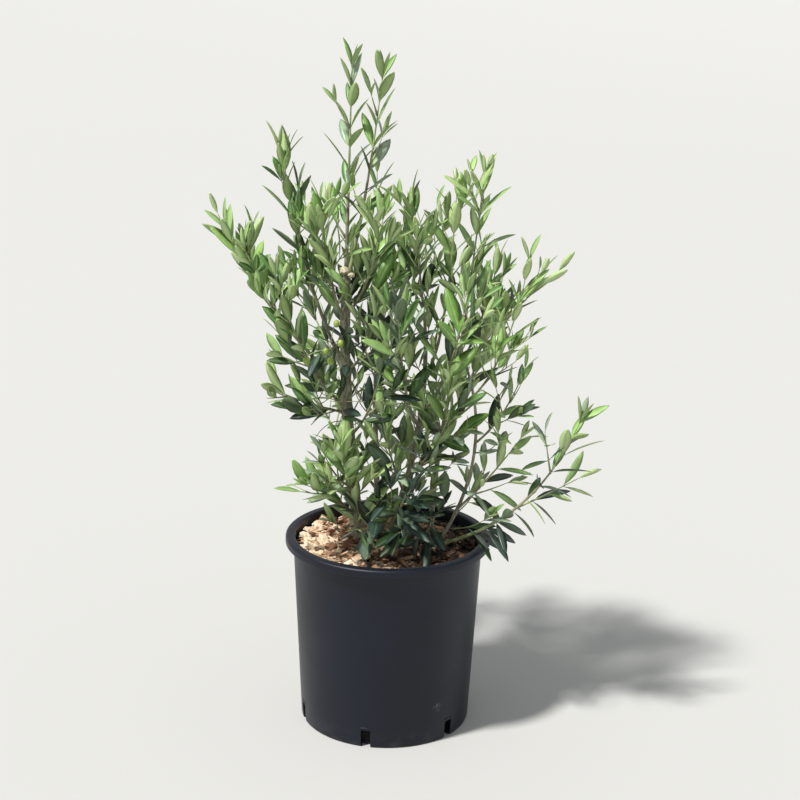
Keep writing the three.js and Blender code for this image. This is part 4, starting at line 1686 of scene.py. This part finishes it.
def plastic_material(mottle):
    """Dark blue-grey moulded plastic: soft satin, with dust towards the foot and faint scuffs."""
    made, tree, shader = new_look("pot_plastic")
    place = place_in(tree)
    surface = patchy(tree, mottle, linear(15, 19, 32), linear(13, 16, 26), 7, 1600)
    height = add_node(tree, "SeparateXYZ", {"Vector": place})["Z"]
    low = ramp(tree, height, 0, 0.03, 0.22, 0)
    specks = ramp(tree, noise_in(tree, place, 60, 6), 0.45, 0.75)
    colour = blend(tree, product(tree, low, specks), surface["Colour"], linear(96, 96, 94))
    roughness = ramp(tree, surface["Patches"], 0, 1, 0.4, 0.46)
    normal = bumped(tree, surface["Height"], 0.12, 0.0006)
    off = add_node(tree, "VectorMath", {0: place, 1: SCUFF}, operation="DISTANCE")["Value"]
    near = ramp(tree, off, 0.001, 0.009, 0.5, 0)
    slant = {"Vector": place, "Rotation": (0.0, 0.9, 0.7), "Scale": (1.0, 1.0, 0.22)}
    slanted = add_node(tree, "Mapping", slant)[0]
    scratches = ramp(tree, noise_in(tree, slanted, 380, 2), 0.5, 0.62)
    colour = blend(tree, product(tree, near, scratches), colour, linear(136, 140, 142))
    inputs = {
        "Base Color": colour,
        "Roughness": roughness,
        "Normal": normal,
        "Specular IOR Level": 0.34,
        "Specular Tint": (0.88, 0.93, 1.0, 1.0),
    }
    set_inputs(tree, shader, inputs)
    return made


# The stage, in metres and degrees: the floor, level at first and then rising, the light and the view
FLOOR_LEVEL = 6
FLOOR_BEND = 30
FLOOR_END = (60, 12.545)
SUN_STRENGTH = 4.5
SUN_SOFTNESS = 6
SUN_WAY = (0.81, 0.58, -1.66)
SURROUND_STRENGTH = 0.5
VIEW_ELEVATION = 16.43
VIEW_ROLL = 1.18
VIEW_TARGET = (0.0138, 0, 0.4891)
VIEW_DISTANCE = 2.5
LENS = 78.345


def stood(name, data, turn, place=(0, 0, 0)):
    """A light or camera as an object, turned and in its place."""
    made = bpy.data.objects.new(name, data)
    bpy.context.scene.collection.objects.link(made)
    made.rotation_mode = "QUATERNION"
    made.rotation_quaternion = turn
    made.location = place
    return made


def set_stage():
    """A plain pale floor under soft studio light, seen as the photograph sees it."""
    look, tree, shader = new_look("studio_floor")
    set_inputs(tree, shader, {"Base Color": linear(186, 186, 184), "Roughness": 0.9})
    profile = [(0, 0), (FLOOR_LEVEL, 0)] + arc(FLOOR_LEVEL, FLOOR_BEND, FLOOR_BEND, -90, -76, 12)[1:]
    profile = [(x / MM, z / MM) for x, z in profile + [FLOOR_END]]
    floor = finished("studio_floor", spun(profile, 96), [look])
    floor.data.flip_normals()

    world = bpy.data.worlds.new("studio")
    bpy.context.scene.world = world
    world.use_nodes = True
    surround = world.node_tree.nodes["Background"]
    inputs = {"Color": (0.95, 0.98, 1.0, 1.0), "Strength": SURROUND_STRENGTH}
    set_inputs(world.node_tree, surround, inputs)

    key = bpy.data.lights.new("key", "SUN")
    key.energy = SUN_STRENGTH
    key.angle = math.radians(SUN_SOFTNESS)
    key.color = (1.0, 0.98, 0.95)
    stood("key", key, Vector(SUN_WAY).to_track_quat("-Z", "Y"))

    elevation = math.radians(VIEW_ELEVATION)
    roll = math.radians(VIEW_ROLL)
    back = Vector((0, -math.cos(elevation), math.sin(elevation)))
    right = Vector((1, 0, 0))
    up = Vector((0, math.sin(elevation), math.cos(elevation)))
    level = right * math.cos(roll) + up * math.sin(roll)
    plumb = up * math.cos(roll) - right * math.sin(roll)
    view = Matrix((level, plumb, back)).transposed()
    lens = bpy.data.cameras.new("camera")
    lens.lens = LENS
    lens.sensor_width = 36
    lens.clip_start = 0.05
    lens.clip_end = 100
    place = Vector(VIEW_TARGET) + back * VIEW_DISTANCE
    bpy.context.scene.camera = stood("camera", lens, view.to_quaternion(), place)
    bpy.context.scene.view_settings.view_transform = "Standard"


# Finishes of two colours as seen: the scale of the patches and of the grain, the roughness, and the
# strength and depth of the bump
FINISHES = {
    "callus": ((212, 202, 176), (178, 164, 138), 260, 1000, 0.85, 0.5, 0.0005),
    "twig_bark": ((160, 156, 128), (126, 120, 96), 90, 1300, 0.8, 0.5, 0.0004),
    "twig_green": ((160, 172, 124), (134, 146, 104), 90, 1300, 0.7, 0.3, 0.0004),
    "olive_skin": ((160, 180, 88), (130, 154, 66), 160, 1500, 0.35, 0.15, 0.0003),
    "dark_mix": ((58, 42, 32), (84, 62, 46), 120, 700, 0.95, 1.0, 0.002),
    # Near-black potting mix: painted shade behind the drain slots.
    "damp_mix": ((20, 17, 15), (12, 11, 10), 120, 700, 0.95, 0.6, 0.002),
}
CHIP_FINISH = (260, 1100, 0.85, 0.6, 0.0006)
# Chip colours from cream to dark, dealt out by place: partly the chips' own colours, partly painted
# light and shade.
CHIPS = {
    "cream_chip": ((236, 218, 194), (212, 186, 156), *CHIP_FINISH),
    "peach_chip": ((216, 184, 154), (182, 144, 116), *CHIP_FINISH),
    "tan_chip": ((180, 146, 116), (138, 106, 82), *CHIP_FINISH),
    "rust_chip": ((144, 102, 72), (108, 72, 52), *CHIP_FINISH),
    "bark_chip": ((98, 72, 58), (66, 50, 42), *CHIP_FINISH),
    "dark_chip": ((50, 40, 34), (34, 29, 26), *CHIP_FINISH),
}

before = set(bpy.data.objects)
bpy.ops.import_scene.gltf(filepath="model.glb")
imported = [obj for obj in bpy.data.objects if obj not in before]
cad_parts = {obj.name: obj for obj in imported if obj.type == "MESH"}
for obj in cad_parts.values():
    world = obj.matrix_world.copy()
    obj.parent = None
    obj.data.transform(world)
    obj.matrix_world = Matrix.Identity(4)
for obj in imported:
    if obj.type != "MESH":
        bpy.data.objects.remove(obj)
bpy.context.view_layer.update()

plant = Plant()
mottle = mottle_group()
looks = {}
for name, (colour, patch, *finish) in (FINISHES | CHIPS).items():
    looks[name] = mottled(name, mottle, linear(*colour), linear(*patch), *finish)
bark = bark_material(mottle)

make_leaves(plant, leaf_materials(mottle))
make_twigs(plant, [looks["twig_bark"], looks["twig_green"]])
make_stems(plant, bark)
make_boughs(plant, bark, looks["twig_green"])
make_pruning_knot(plant, looks["callus"])
make_olives(plant, looks["olive_skin"], looks["twig_green"])
make_pot(plastic_material(mottle))
make_bed(looks["dark_mix"], looks["damp_mix"])
make_chips([looks[name] for name in CHIPS])
set_stage()

print("leaves", len(plant.leaves), "twigs", len(plant.twigs))
